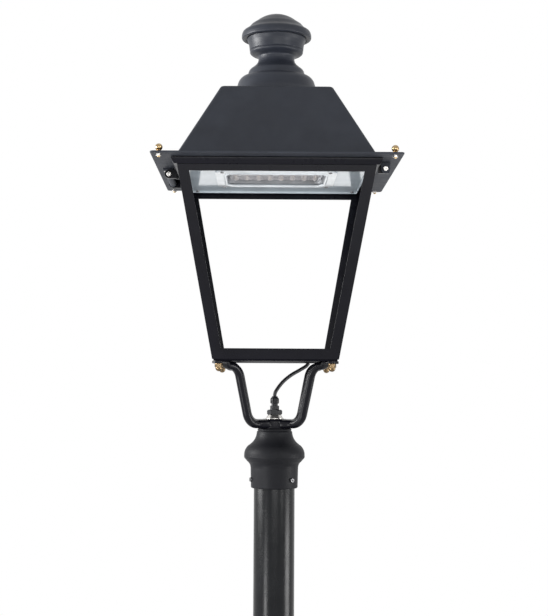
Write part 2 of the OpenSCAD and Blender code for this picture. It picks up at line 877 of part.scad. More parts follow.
// Bezel: a rounded plate under the tray whose light opening has a rolled edge
module led_bezel() {
    l = window_l / 2;
    w = window_w / 2;
    color("#c4c9d0")
        difference() {
            union() {
                translate([0, 0, bezel_z])
                    linear_extrude(bezel_t)
                        difference() {
                            round_rect(bezel_l, bezel_w, bezel_r);
                            round_rect(window_l, window_w, window_r);
                        }
                translate([0, 0, bezel_z])
                    union() {
                        for (side = [-1, 1]) {
                            translate([0, side * (w + bead_r), 0])
                                rotate([0, 90, 0])
                                    cylinder(r = bead_r, h = window_l - 2 * window_r, center = true);
                            translate([side * (l + bead_r), 0, 0])
                                bar_y(bead_r, window_w - 2 * window_r);
                        }
                        for (k = [0:3])
                            translate([(k == 0 || k == 3 ? 1 : -1) * (l - window_r),
                                       (k < 2 ? 1 : -1) * (w - window_r), 0])
                                rotate([0, 0, 90 * k])
                                    rotate_extrude(angle = 90)
                                        translate([window_r + bead_r, 0])
                                            circle(r = bead_r);
                    }
            }
            for (sx = [-1, 1], sy = [-1, 1])
                translate([sx * bezel_screw_x, sy * bezel_screw_y, bezel_z - past])
                    cylinder(r = 2 + bolt_clearance, h = bezel_t + 2 * past);
            // The bead stays below the tray
            translate([-bezel_l / 2, -bezel_w / 2, tray_z])
                cube([bezel_l, bezel_w, bead_r + past]);
        }
}

module bezel_screws() {
    color("#8b8e93")
        for (sx = [-1, 1], sy = [-1, 1])
            translate([sx * bezel_screw_x, sy * bezel_screw_y, bezel_z])
                pan_screw(4, 7.4, 2, bezel_t + tray_t + 3);
}

// Cast housing on the tray: the light cavity below and cooling fins above
module led_housing() {
    pitch = (housing_l - fin_t) / (fin_count - 1);
    color("#a9adb3")
        difference() {
            union() {
                translate([0, 0, tray_top])
                    linear_extrude(housing_edge_t)
                        round_rect(bezel_l, bezel_w, bezel_r);
                translate([0, 0, tray_top + housing_edge_t])
                    linear_extrude(housing_top - tray_top - housing_edge_t)
                        round_rect(housing_l, housing_w, window_r);
                for (k = [0:fin_count - 1]) {
                    edge = abs(k - (fin_count - 1) / 2) > (fin_count - 3) / 2 ? window_r : 4;
                    translate([-housing_l / 2 + k * pitch, -housing_w / 2 + edge, housing_top])
                        cube([fin_t, housing_w - 2 * edge, fin_h]);
                }
            }
            translate([0, 0, tray_top - past])
                linear_extrude(cavity_top - tray_top + past)
                    round_rect(window_l, window_w, window_r);
            for (sx = [-1, 1], sy = [-1, 1])
                translate([sx * bezel_screw_x, sy * bezel_screw_y, tray_top - past])
                    cylinder(r = 2 + bolt_clearance, h = housing_edge_t + 2 * past);
        }
}

module led_board() {
    color("#f2f2ee")
        translate([0, 0, cavity_top - board_t])
            linear_extrude(board_t)
                round_rect(window_l - 6, window_w - 6, window_r - 3);
}

// Clear moulding with one round lens under each light source
module lens_plate() {
    columns = 8;
    rows = 5;
    step_x = (window_l - 30) / (columns - 1);
    step_y = (window_w - 30) / (rows - 1);
    lens_z = cavity_top - board_t - lens_t;
    color("#eee6ea")
        union() {
            translate([0, 0, lens_z])
                linear_extrude(lens_t)
                    round_rect(window_l - 8, window_w - 8, window_r - 4);
            for (i = [0:columns - 1], j = [0:rows - 1])
                translate([-(window_l - 30) / 2 + i * step_x, -(window_w - 30) / 2 + j * step_y, lens_z])
                    intersection() {
                        translate([0, 0, 3])
                            sphere(lens_r, $fn = 32);
                        translate([-lens_r, -lens_r, -lens_r])
                            cube([2 * lens_r, 2 * lens_r, lens_r + 1]);
                    }
        }
}

// Folded bridge over the fins that carries the driver
module gear_plate() {
    foot_z = tray_top + housing_edge_t;
    slot_at = (driver_l + 24) / 2 + 8;
    color("#b4b8bd")
        difference() {
            union() {
                translate([-gear_l / 2, -gear_w / 2, gear_z])
                    cube([gear_l, gear_w, gear_t]);
                for (side = [0, 1])
                    mirror([side, 0, 0])
                        translate([gear_l / 2 - gear_t, -gear_w / 2, foot_z]) {
                            cube([gear_t, gear_w, gear_z - foot_z]);
                            translate([gear_t - gear_foot / 2, 0, 0])
                                cube([gear_foot / 2, gear_w, gear_t]);
                        }
            }
            for (side = [-1, 1])
                translate([side * slot_at, 0, gear_z - past])
                    linear_extrude(gear_t + 2 * past)
                        round_rect(12, gear_w - 30, 5);
        }
}

// Driver: a potted box with end flanges and two cable ends
module driver() {
    color("#e6e7e8")
        translate([0, 0, gear_z + gear_t])
            union() {
                linear_extrude(driver_h)
                    round_rect(driver_l, driver_w, 4);
                linear_extrude(3)
                    round_rect(driver_l + 24, driver_w - 16, 5);
                for (side = [-1, 1])
                    translate([side * driver_l / 2, 0, driver_h / 2])
                        rotate([0, 90, 0])
                            cylinder(d = 12, h = 8, center = true);
            }
}

// Pin with a round head in front, through both ears and the barrel
module hinge_pin() {
    color("#c9cbce")
        translate([pin_x, 0, pin_z])
            union() {
                translate([0, 1.5, 0])
                    bar_y(pin_d / 2, 2 * pin_half + 3);
                translate([0, -pin_half, 0])
                    rotate([90, 0, 0])
                        rotate_extrude()
                            polygon(concat([[0, 0], [5, 0]], arc(0, 0, 5, 12, 36, 3), [[0, 3]]));
            }
}

module pin_clip() {
    color("#8b8e93")
        translate([pin_x, pin_half + 0.7, pin_z])
            difference() {
                bar_y(5, 1.2);
                bar_y(pin_d / 2 + bolt_clearance, 4);
            }
}

// Roof: a flange with corner holes and a hollow pyramid with soft ridges
module roof_cover() {
    slope = (roof_foot_w - roof_head_w) / 2 / roof_h;
    foot = roof_foot_w / 2;
    head = roof_head_w / 2;
    wall_across = roof_t * sqrt(1 + slope * slope);
    inner_top = roof_top - roof_t;
    edge = ridge_r;
    color("#2a2c30")
        difference() {
            union() {
                translate([0, 0, flange_z])
                    linear_extrude(roof_t)
                        round_rect(flange_w, flange_w, flange_r);
                loft(concat(
                    [square_ring(foot, flange_top - 1, edge), square_ring(foot, flange_top, edge)],
                    [square_ring(head + slope * edge * 0.9, roof_top - edge * 0.9, edge)],
                    [square_ring(head + slope * edge * 0.35 - 0.3, roof_top - edge * 0.35, edge)],
                    [square_ring(head - edge * 0.45, roof_top - edge * 0.08, edge)],
                    [square_ring(head - edge, roof_top, edge)]));
            }
            loft([square_ring(foot - wall_across + slope * (roof_t + past), flange_z - past, edge - 1),
                  square_ring(head - wall_across + slope * roof_t, inner_top, edge - 1)]);
            translate([0, 0, inner_top - past])
                cylinder(r = rod_d / 2 + bolt_clearance, h = roof_t + 2 * past);
            at_corners(ball_at)
                translate([0, 0, flange_z - past])
                    cylinder(r = ball_stem_d / 2 + bolt_clearance, h = roof_t + 2 * past);
        }
}

module roof_gasket() {
    color("#151618")
        difference() {
            block(frame_half(lip_z) + 4, flange_z - gasket_t, flange_z);
            block(frame_half(lip_z) - 4, flange_z - gasket_t - past, flange_z + past);
        }
}

// Leaf under the roof's flange with the barrel that turns on the pin
module hinge_leaf() {
    web_w = barrel_d - 3;
    color("#2a2c30")
        difference() {
            union() {
                translate([pin_x - leaf_w / 2 + 0.5, -barrel_l / 2, flange_z - leaf_t])
                    cube([leaf_w - 4, barrel_l, leaf_t]);
                translate([pin_x - web_w / 2, -barrel_l / 2, pin_z])
                    cube([web_w, barrel_l, flange_z - pin_z]);
                translate([pin_x, 0, pin_z])
                    bar_y(barrel_d / 2, barrel_l);
            }
            translate([pin_x, 0, pin_z])
                bar_y(pin_d / 2 + pin_clearance, barrel_l + 2 * past);
        }
}

// Domed rivets that hold the leaf under the flange
module leaf_screws() {
    color("#8b8e93")
        for (y = [-1, 0, 1] * barrel_l * 0.36)
            translate([pin_x - 9, y, flange_z - leaf_t - rivet_h])
                cylinder(d1 = 2.6, d2 = 4.4, h = rivet_h);
}

// Ear under the roof's flange with a rounded end for the lock screw
module latch_ear() {
    color("#2a2c30")
        difference() {
            union() {
                translate([latch_x, -latch_y + latch_t / 2, pin_z])
                    bar_y(latch_w / 2, latch_t);
                translate([latch_x - latch_w / 2, -latch_y, pin_z])
                    cube([latch_w, latch_t, flange_z - pin_z]);
            }
            translate([latch_x, -latch_y, pin_z])
                bar_y(lock_d / 2 + bolt_clearance, 4 * latch_t);
        }
}

// Captive lock screw, backed off clear of the frame's lug
module lock_screw() {
    head_d = lock_d * 1.8;
    head_h = 3;
    slot_w = 1.2;
    color("#c9cbce")
        translate([latch_x, -latch_y, pin_z])
            rotate([-90, 0, 0])
                difference() {
                    union() {
                        translate([0, 0, -head_h])
                            cylinder(d1 = head_d - 1.2, d2 = head_d, h = head_h);
                        cylinder(d = lock_d, h = latch_t + lug_gap - 1);
                    }
                    rotate([0, 0, 35])
                        translate([-head_d / 2 - past, -slot_w / 2, -head_h - past])
                            cube([head_d + 2 * past, slot_w, past + head_h / 2]);
                }
}

// Chimney: a flared foot, two rolls, a slim neck and a tapered drum on a bead, hollow inside
module chimney() {
    foot = chimney_foot_d / 2;
    neck = neck_d / 2;
    cup = cup_d / 2;
    crown = crown_d / 2;
    t = chimney_wall;
    z = roof_top;
    // One step outwards and one step up, in which the mouldings are drawn
    u = foot / 80;
    v = chimney_h / 113.5;
    bead_z = z + 89 * v;
    outer = concat(
        [[foot, z], [foot, z + 4 * v], [foot - 4 * u, z + 12 * v], [foot - 6.2 * u, z + 22 * v]],
        arc(foot - 26.6 * u, z + 20.7 * v, 20 * u, 14, 58, 6),
        [[neck + 22 * u, z + 39.1 * v], [neck + 20.2 * u, z + 42.1 * v]],
        arc(neck + 7.4 * u, z + 45 * v, 11.6 * u, 8, 64, 6),
        [[neck + 4.4 * u, z + 62.5 * v], [neck + 1.4 * u, z + 67 * v], [neck, z + 71.5 * v]],
        [[neck + 0.6 * u, z + 75 * v], [neck + 2.6 * u, z + 77.4 * v]],
        arc(neck + 3.6 * u, bead_z - 2.5 * v, 8.4 * u, -75, -6, 5),
        [[cup - 2.4 * u, bead_z - 1.4 * v]],
        arc(cup - u, bead_z, 1.6 * u, -80, 80, 5),
        [[cup - 0.6 * u, bead_z + 3 * v], [cup + 0.4 * u, bead_z + 9 * v],
         [cup + 2.4 * u, bead_z + 15 * v], [crown, cap_seat - 2 * v], [crown, cap_seat]]);
    inner = [[crown - t, cap_seat], [crown - t, cap_seat - 3 * v], [cup - t, bead_z + 12 * v],
             [cup - t - 1.6 * u, bead_z + 2 * v], [neck - t, bead_z - 6 * v], [neck - t, z + 66 * v],
             [neck + 2 * u, z + 59 * v], [neck + 13 * u, z + 52 * v], [neck + 16 * u, z + 39 * v],
             [foot - 30 * u, z + 33 * v], [foot - 12 * u, z + 21 * v], [foot - 9 * u, z + 11 * v],
             [foot - 9 * u, z]];
    color("#26282c")
        rotate_extrude()
            polygon(concat(outer, inner));
}

// Cap: a drip rim that hangs round the drum's top, a low shoulder and a dome, hollow below
module chimney_cap() {
    r = cap_d / 2;
    cup = cup_d / 2;
    lip = crown_d / 2 + drip_gap;
    z = cap_seat;
    // One step outwards and one step up, in which the mouldings are drawn
    u = r / 66;
    v = cap_h / 46.5;
    boss_r = rod_d / 2 + 6;
    cavity_h = 27 * v;
    outer = concat(
        [[lip, z], [lip + 0.4 * u, z - 1.5 * v]],
        arc(r - 3 * u, z + 1.5 * v, 3 * u, -90, 0, 4),
        [[r, z + 6 * v]],
        arc(r - 8.6 * u, z + 7.4 * v, 8 * u, 6, 60, 5),
        [[cup + 4 * u, z + 18.6 * v], [cup + 0.2 * u, z + 22.4 * v], [cup - 3.6 * u, z + 26.6 * v]],
        arc(0, z + cap_h - 60 * u, 60 * u, 50.5, 83, 8),
        [[6 * u, z + cap_h - 0.3], [0, z + cap_h], [0, z]]);
    color("#26282c")
        difference() {
            rotate_extrude()
                polygon(outer);
            translate([0, 0, z - past])
                difference() {
                    cylinder(r1 = cup - 7 * u, r2 = cup - 14 * u, h = cavity_h + past);
                    cylinder(r = boss_r, h = cavity_h + 3 * past);
                }
            translate([0, 0, z - past])
                cylinder(r = rod_d / 2 + bolt_clearance, h = rod_grip + 2 * past);
        }
}

module tie_rod() {
    low = roof_top - roof_t - 16;
    color("#b9bcc0")
        translate([0, 0, low])
            cylinder(d = rod_d, h = cap_seat + rod_grip - low);
}

module tie_nut() {
    washer_t = 1.6;
    top = roof_top - roof_t;
    color("#b9bcc0")
        difference() {
            union() {
                translate([0, 0, top - washer_t])
                    cylinder(d = rod_d * 2.6, h = washer_t);
                translate([0, 0, top - washer_t - 6.5])
                    hex_bar(13, 6.5);
            }
            translate([0, 0, top - 12])
                cylinder(r = rod_d / 2 + bolt_clearance, h = 12 + past);
        }
}

// Turned balls on the flange's corners, with a foot ring and a threaded stem
module corner_balls() {
    r = ball_d / 2;
    color("#d0a24a")
        at_corners(ball_at)
            translate([0, 0, flange_top])
                union() {
                    rotate_extrude()
                        polygon(concat([[0, 0], [r, 0], [r, 1], [r - 2, 2]],
                                       arc(0, r + 1.6, r, -56, 90, 14)));
                    translate([0, 0, -roof_t - ball_nut_t - 2])
                        cylinder(d = ball_stem_d, h = roof_t + ball_nut_t + 2);
                }
}

module ball_nuts() {
    color("#c9cbce")
        at_corners(ball_at)
            translate([0, 0, flange_z - ball_nut_t])
                difference() {
                    hex_bar(ball_nut_af, ball_nut_t);
                    translate([0, 0, -past])
                        cylinder(r = ball_stem_d / 2 + bolt_clearance, h = ball_nut_t + 2 * past);
                }
}

base_plate();
post();
collar();
set_screws();
cradle();
hub_nipple();
hub_washer();
hub_nut();
gland_body();
gland_dome_nut();
gland_seal();
supply_lead();
lead_grommet();
bottom_plate();
bottom_ring();
corner_post(180);  // corner_post_1
corner_post(270);  // corner_post_2
corner_post(0);  // corner_post_3
corner_post(90);  // corner_post_4
top_ring();
cradle_studs();
stud_washers();
acorn_nuts();
reflector_tray();
tray_screws();
led_bezel();
bezel_screws();
led_housing();
led_board();
lens_plate();
gear_plate();
driver();
hinge_pin();
pin_clip();
roof_cover();
roof_gasket();
hinge_leaf();
leaf_screws();
latch_ear();
lock_screw();
chimney();
chimney_cap();
tie_rod();
tie_nut();
corner_balls();
ball_nuts();
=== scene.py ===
"""Looks of a garden light: a four-sided lantern on a round post.

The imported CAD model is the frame. Each class below dresses one sub-assembly of it, with
sizes in metres and in the frame's own axes: +Z is up and the front faces -Y.
"""

import logging
import math
from dataclasses import dataclass
from enum import Enum
from functools import cached_property
from typing import Any, Union

import bmesh
import bpy
import numpy as np
from mathutils import Matrix, Vector


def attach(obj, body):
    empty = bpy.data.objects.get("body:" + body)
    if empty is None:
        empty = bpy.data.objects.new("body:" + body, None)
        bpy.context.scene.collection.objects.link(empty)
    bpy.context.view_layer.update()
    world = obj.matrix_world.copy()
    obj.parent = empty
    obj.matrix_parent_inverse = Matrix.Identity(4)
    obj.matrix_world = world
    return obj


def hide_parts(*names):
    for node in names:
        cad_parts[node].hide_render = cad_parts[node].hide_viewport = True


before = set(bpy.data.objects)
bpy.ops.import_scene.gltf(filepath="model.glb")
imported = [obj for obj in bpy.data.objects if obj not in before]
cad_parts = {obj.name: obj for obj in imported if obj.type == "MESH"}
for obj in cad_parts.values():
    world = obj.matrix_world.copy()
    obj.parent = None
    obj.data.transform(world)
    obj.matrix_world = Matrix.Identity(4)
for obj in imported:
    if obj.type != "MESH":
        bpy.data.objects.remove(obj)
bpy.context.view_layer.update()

LOG = logging.getLogger("garden_light")
MERGE = 2e-6  # distance in metres at which a new mesh's points are one
CAD_MERGE = 5e-6  # the same for the loose triangles of a CAD node
SLIVER = 1e-6  # length in metres under which an edge is dissolved
FLAT_TURN = 0.4  # degrees under which two faces are one flat face
SOFT_TURN = 34.0  # degrees under which a new mesh is shaded smooth
CAST_STEPS = 160  # steps round a turned casting
WHITE = (1.0, 1.0, 1.0, 1.0)
CORNERS = np.array([[-1, -1], [1, -1], [1, 1], [-1, 1]])  # signs of x and y, all the way round

Colour = tuple[float, float, float]
Point = tuple[float, float, float]
Socket = bpy.types.NodeSocket
Piece = bpy.types.Object
Inputs = dict[Union[str, int], Any]


class Body(Enum):
    """Bodies of the frame that a piece can ride on."""

    ROOT = "root"
    COVER = "cover"


# Meshes


def arc(cx: float, cy: float, r: float, start: float, end: float, steps: int = 6) -> np.ndarray:
    """Points of a circle's arc in a flat outline.

    Formula: centre plus radius times cosine and sine of evenly spaced angles.

    Args:
        cx: Centre across.
        cy: Centre up.
        r: Radius.
        start: First angle in degrees.
        end: Last angle in degrees.
        steps: Number of chords.

    Returns:
        Array of steps + 1 points, two columns.
    """
    turn = np.radians(np.linspace(start, end, steps + 1))
    return np.column_stack([cx + r * np.cos(turn), cy + r * np.sin(turn)])


def rounded(points: np.ndarray, radius: float, closed: bool = True, steps: int = 3) -> np.ndarray:
    """Outline with its corners rounded.

    Formula: each corner becomes a quadratic curve from the point that lies a cut before it
    to the point a cut after it, with the corner as its control point. The cut is the radius,
    but never more than half of the side next to the corner.

    Args:
        points: Corners, one row each, in any number of dimensions.
        radius: Cut along each side, in the points' unit.
        closed: Whether the last corner is joined to the first.
        steps: Number of chords at a corner.

    Returns:
        Array of the rounded outline's points.
    """
    p = np.asarray(points, float)
    before = np.roll(p, 1, 0) - p
    after = np.roll(p, -1, 0) - p
    far_before = np.linalg.norm(before, axis=1, keepdims=True)
    far_after = np.linalg.norm(after, axis=1, keepdims=True)
    cut_a = np.minimum(radius, far_before / 2) / np.maximum(far_before, 1e-12)
    cut_b = np.minimum(radius, far_after / 2) / np.maximum(far_after, 1e-12)
    if not closed:
        cut_a[[0, -1]] = 0
        cut_b[[0, -1]] = 0
    s = np.linspace(0, 1, steps + 1)[None, :, None]
    start = (p + before * cut_a)[:, None]
    end = (p + after * cut_b)[:, None]
    curve = (1 - s) ** 2 * start + 2 * s * (1 - s) * p[:, None] + s**2 * end
    flat = curve.reshape(-1, p.shape[1])
    step = np.linalg.norm(np.diff(flat, axis=0), axis=1)
    return flat[np.concatenate([[True], step > 1e-7])]


def spline(points: np.ndarray, count: int) -> np.ndarray:
    """Smooth curve through points, evenly sampled.

    Formula: natural cubic spline over the chord length, whose second derivatives solve one
    linear system.

    Args:
        points: Points that the curve passes.
        count: Number of samples.

    Returns:
        Array of count points.
    """
    p = np.asarray(points, float)
    n = len(p)
    t = np.concatenate([[0], np.cumsum(np.linalg.norm(np.diff(p, axis=0), axis=1))])
    h = np.diff(t)
    system = np.eye(n)
    rows = np.arange(1, n - 1)
    system[rows, rows - 1] = h[:-1]
    system[rows, rows] = 2 * (h[:-1] + h[1:])
    system[rows, rows + 1] = h[1:]
    right = np.zeros_like(p)
    slope = np.diff(p, axis=0) / h[:, None]
    right[1:-1] = 6 * np.diff(slope, axis=0)
    bend = np.linalg.solve(system, right)
    u = np.linspace(0, t[-1], count)
    k = np.clip(np.searchsorted(t, u, side="right") - 1, 0, n - 2)
    a, b, w = (t[k + 1] - u)[:, None], (u - t[k])[:, None], h[k][:, None]
    return (
        (bend[k] * a**3 + bend[k + 1] * b**3) / (6 * w)
        + (p[k] / w - bend[k] * w / 6) * a
        + (p[k + 1] / w - bend[k + 1] * w / 6) * b
    )


def full_turn(steps: int) -> np.ndarray:
    """Column of evenly spaced angles all the way round."""
    return np.linspace(0, 2 * math.pi, steps, endpoint=False)[:, None]


def around(r: np.ndarray, z: np.ndarray, t: np.ndarray) -> np.ndarray:
    """Points about the Z axis: r cos t, r sin t and the height z."""
    return np.stack([r * np.cos(t), r * np.sin(t), z + 0 * t], -1)


def finish_mesh(piece: Piece) -> Piece:
    """Merges a new mesh's doubles, turns its faces outwards and sets its smooth shading.

    Args:
        piece: Object whose mesh was just made.

    Returns:
        The same object.
    """
    work = bmesh.new()
    work.from_mesh(piece.data)
    bmesh.ops.remove_doubles(work, verts=work.verts, dist=MERGE)
    bmesh.ops.dissolve_degenerate(work, edges=work.edges, dist=SLIVER)
    bmesh.ops.recalc_face_normals(work, faces=work.faces)
    work.to_mesh(piece.data)
    work.free()
    piece.data.shade_smooth()
    piece.data.set_sharp_from_angle(angle=math.radians(SOFT_TURN))
    return piece


def new_piece(name: str, points: np.ndarray, faces: np.ndarray) -> Piece:
    """Object with a mesh of these points and faces, linked to the scene.

    Args:
        name: Name of object and mesh.
        points: Array of points in metres.
        faces: Array of corner numbers, one row for each face.

    Returns:
        The new object.
    """
    mesh = bpy.data.meshes.new(name)
    mesh.from_pydata(points.reshape(-1, 3).tolist(), [], faces.tolist())
    mesh.update()
    piece = bpy.data.objects.new(name, mesh)
    bpy.context.scene.collection.objects.link(piece)
    return finish_mesh(piece)


def quads(rows: int, columns: int, wrap_rows: bool, wrap_columns: bool) -> np.ndarray:
    """Corner numbers of the quads of a grid of points.

    Args:
        rows: Number of rows.
        columns: Number of columns.
        wrap_rows: Whether the last row is joined to the first.
        wrap_columns: Whether the last column is joined to the first.

    Returns:
        Array of four corner numbers for each quad.
    """
    i, j = np.meshgrid(
        np.arange(rows if wrap_rows else rows - 1),
        np.arange(columns if wrap_columns else columns - 1),
        indexing="ij",
    )
    i2, j2 = (i + 1) % rows, (j + 1) % columns
    row, next_row = i * columns, i2 * columns
    return np.stack([row + j, next_row + j, next_row + j2, row + j2], -1).reshape(-1, 4)


def sheet_of(name: str, grid: np.ndarray, wrap_rows: bool, wrap_columns: bool) -> Piece:
    """Object whose mesh is a grid of points, rows by columns.

    Args:
        name: Name of the piece.
        grid: Array of rows, columns and three coordinates.
        wrap_rows: Whether the last row is joined to the first.
        wrap_columns: Whether the last column is joined to the first.

    Returns:
        The new object.
    """
    return new_piece(name, grid, quads(grid.shape[0], grid.shape[1], wrap_rows, wrap_columns))


def turned(name: str, profile: np.ndarray, segments: int = 96, closed: bool = True) -> Piece:
    """Surface of revolution about the Z axis.

    Formula: x is r cos t, y is r sin t and z is the profile's height, for t all round.

    Args:
        name: Name of the piece.
        profile: Points (radius, height). An open profile starts and ends on the axis.
        segments: Number of steps round the axis.
        closed: Whether the profile is a closed loop.

    Returns:
        The new object.
    """
    grid = around(profile[None, :, 0], profile[None, :, 1], full_turn(segments))
    return sheet_of(name, grid, True, closed)


def oblong_rings(rows: np.ndarray, steps: int = 6) -> np.ndarray:
    """Level rings of an oblong with round corners, one for each row.

    Formula: a corner's centre lies at half length less radius along X and at half width less
    radius along Y, and the ring is that centre plus the radius times cosine and sine, a
    quarter turn at each corner.

    Args:
        rows: Rows of half length, half width, corner radius and height.
        steps: Chords at each corner.

    Returns:
        Array of rows, ring points and coordinates.
    """
    corner = np.repeat(np.arange(4), steps + 1)
    along = np.tile(np.linspace(0, 90, steps + 1), 4)
    t = np.radians(180 + 90 * corner + along)
    sx, sy = CORNERS[corner].T
    length, width, radius, z = (rows[:, k][:, None] for k in range(4))
    x = (length - radius) * sx + radius * np.cos(t)
    y = (width - radius) * sy + radius * np.sin(t)
    return np.stack([x, y, z + 0 * t], -1)


def swept(
    name: str,
    path: np.ndarray,
    across: np.ndarray,
    half_w: np.ndarray,
    half_t: np.ndarray,
    power: np.ndarray,
    sides: int = 32,
) -> Piece:
    """Bar along a path that lies in one plane, with its section changing along the way.

    Formula: a section is the superellipse w sign(cos) |cos|^p across the plane and
    t sign(sin) |sin|^p along the path's normal in the plane. The ends shrink to a point.

    Args:
        name: Name of the piece.
        path: Centre points.
        across: Unit vector at right angles to the path's plane.
        half_w: Half width of each section, across the plane.
        half_t: Half thickness of each section, in the plane.
        power: Power of each section: 1 is round and less is boxier.
        sides: Points round a section.

    Returns:
        The new object.
    """
    way = np.gradient(path, axis=0)
    way /= np.linalg.norm(way, axis=1, keepdims=True)
    normal = np.cross(across, way)
    c, s = np.cos(full_turn(sides).T), np.sin(full_turn(sides).T)
    u = half_w[:, None] * np.sign(c) * np.abs(c) ** power[:, None]
    v = half_t[:, None] * np.sign(s) * np.abs(s) ** power[:, None]
    grid = path[:, None] + u[..., None] * across + v[..., None] * normal[:, None]
    ends = [np.repeat(path[[k]][:, None], sides, 1) for k in (0, -1)]
    return sheet_of(name, np.concatenate([ends[0], grid, ends[1]]), False, True)


def merged_copy(node: str, name: str) -> Piece:
    """Copy of a CAD node whose loose triangles are joined into clean flat faces.

    Args:
        node: Name of the CAD node.
        name: Name of the copy.

    Returns:
        The new object.
    """
    piece = bpy.data.objects.new(name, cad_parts[node].data.copy())
    piece.data.materials.clear()
    bpy.context.scene.collection.objects.link(piece)
    flatten(piece)
    return piece


def flatten(piece: Piece) -> None:
    """Merges a mesh's doubles and dissolves the edges inside its flat faces.

    Args:
        piece: Object to clean.
    """
    work = bmesh.new()
    work.from_mesh(piece.data)
    bmesh.ops.remove_doubles(work, verts=work.verts, dist=CAD_MERGE)
    turn = math.radians(FLAT_TURN)
    bmesh.ops.dissolve_limit(
        work, angle_limit=turn, verts=work.verts, edges=work.edges, delimit=set()
    )
    work.to_mesh(piece.data)
    work.free()
    for layer in ("custom_normal", "sharp_face", "sharp_edge"):
        if layer in piece.data.attributes:
            piece.data.attributes.remove(piece.data.attributes[layer])


def eased(piece: Piece, width: float, segments: int = 2, sharp: float = 30.0) -> Piece:
    """Breaks a piece's sharp edges with a live bevel.

    Args:
        piece: Object to bevel.
        width: Width of the bevel in metres.
        segments: Steps across the bevel.
        sharp: Edges that turn by more than this many degrees are bevelled.

    Returns:
        The same object.
    """
    bevel = piece.modifiers.new("eased_edges", "BEVEL")
    bevel.width = width
    bevel.segments = segments
    bevel.limit_method = "ANGLE"
    bevel.angle_limit = math.radians(sharp)
    bevel.use_clamp_overlap = True
    bevel.harden_normals = True
    bevel.miter_outer = "MITER_ARC"
    piece.data.shade_smooth()
    piece.data.set_sharp_from_angle(angle=math.radians(sharp))
    return piece


def welded(name: str, nodes: list[str]) -> Piece:
    """One skin round several CAD nodes that are welded together.

    Args:
        name: Name of the new piece.
        nodes: Names of the CAD nodes.

    Returns:
        The new object, with the walls between the nodes gone.
    """
    parts = [merged_copy(node, f"{name}_{k}") for k, node in enumerate(nodes)]
    whole = parts[0]
    for part in parts[1:]:
        union = whole.modifiers.new("weld", "BOOLEAN")
        union.operation = "UNION"
        union.solver = "EXACT"
        union.object = part
    shape = whole.evaluated_get(bpy.context.evaluated_depsgraph_get())
    mesh = bpy.data.meshes.new_from_object(shape)
    for part in parts:
        bpy.data.objects.remove(part)
    mesh.name = name
    piece = bpy.data.objects.new(name, mesh)
    bpy.context.scene.collection.objects.link(piece)
    flatten(piece)
    return piece


# Finishes


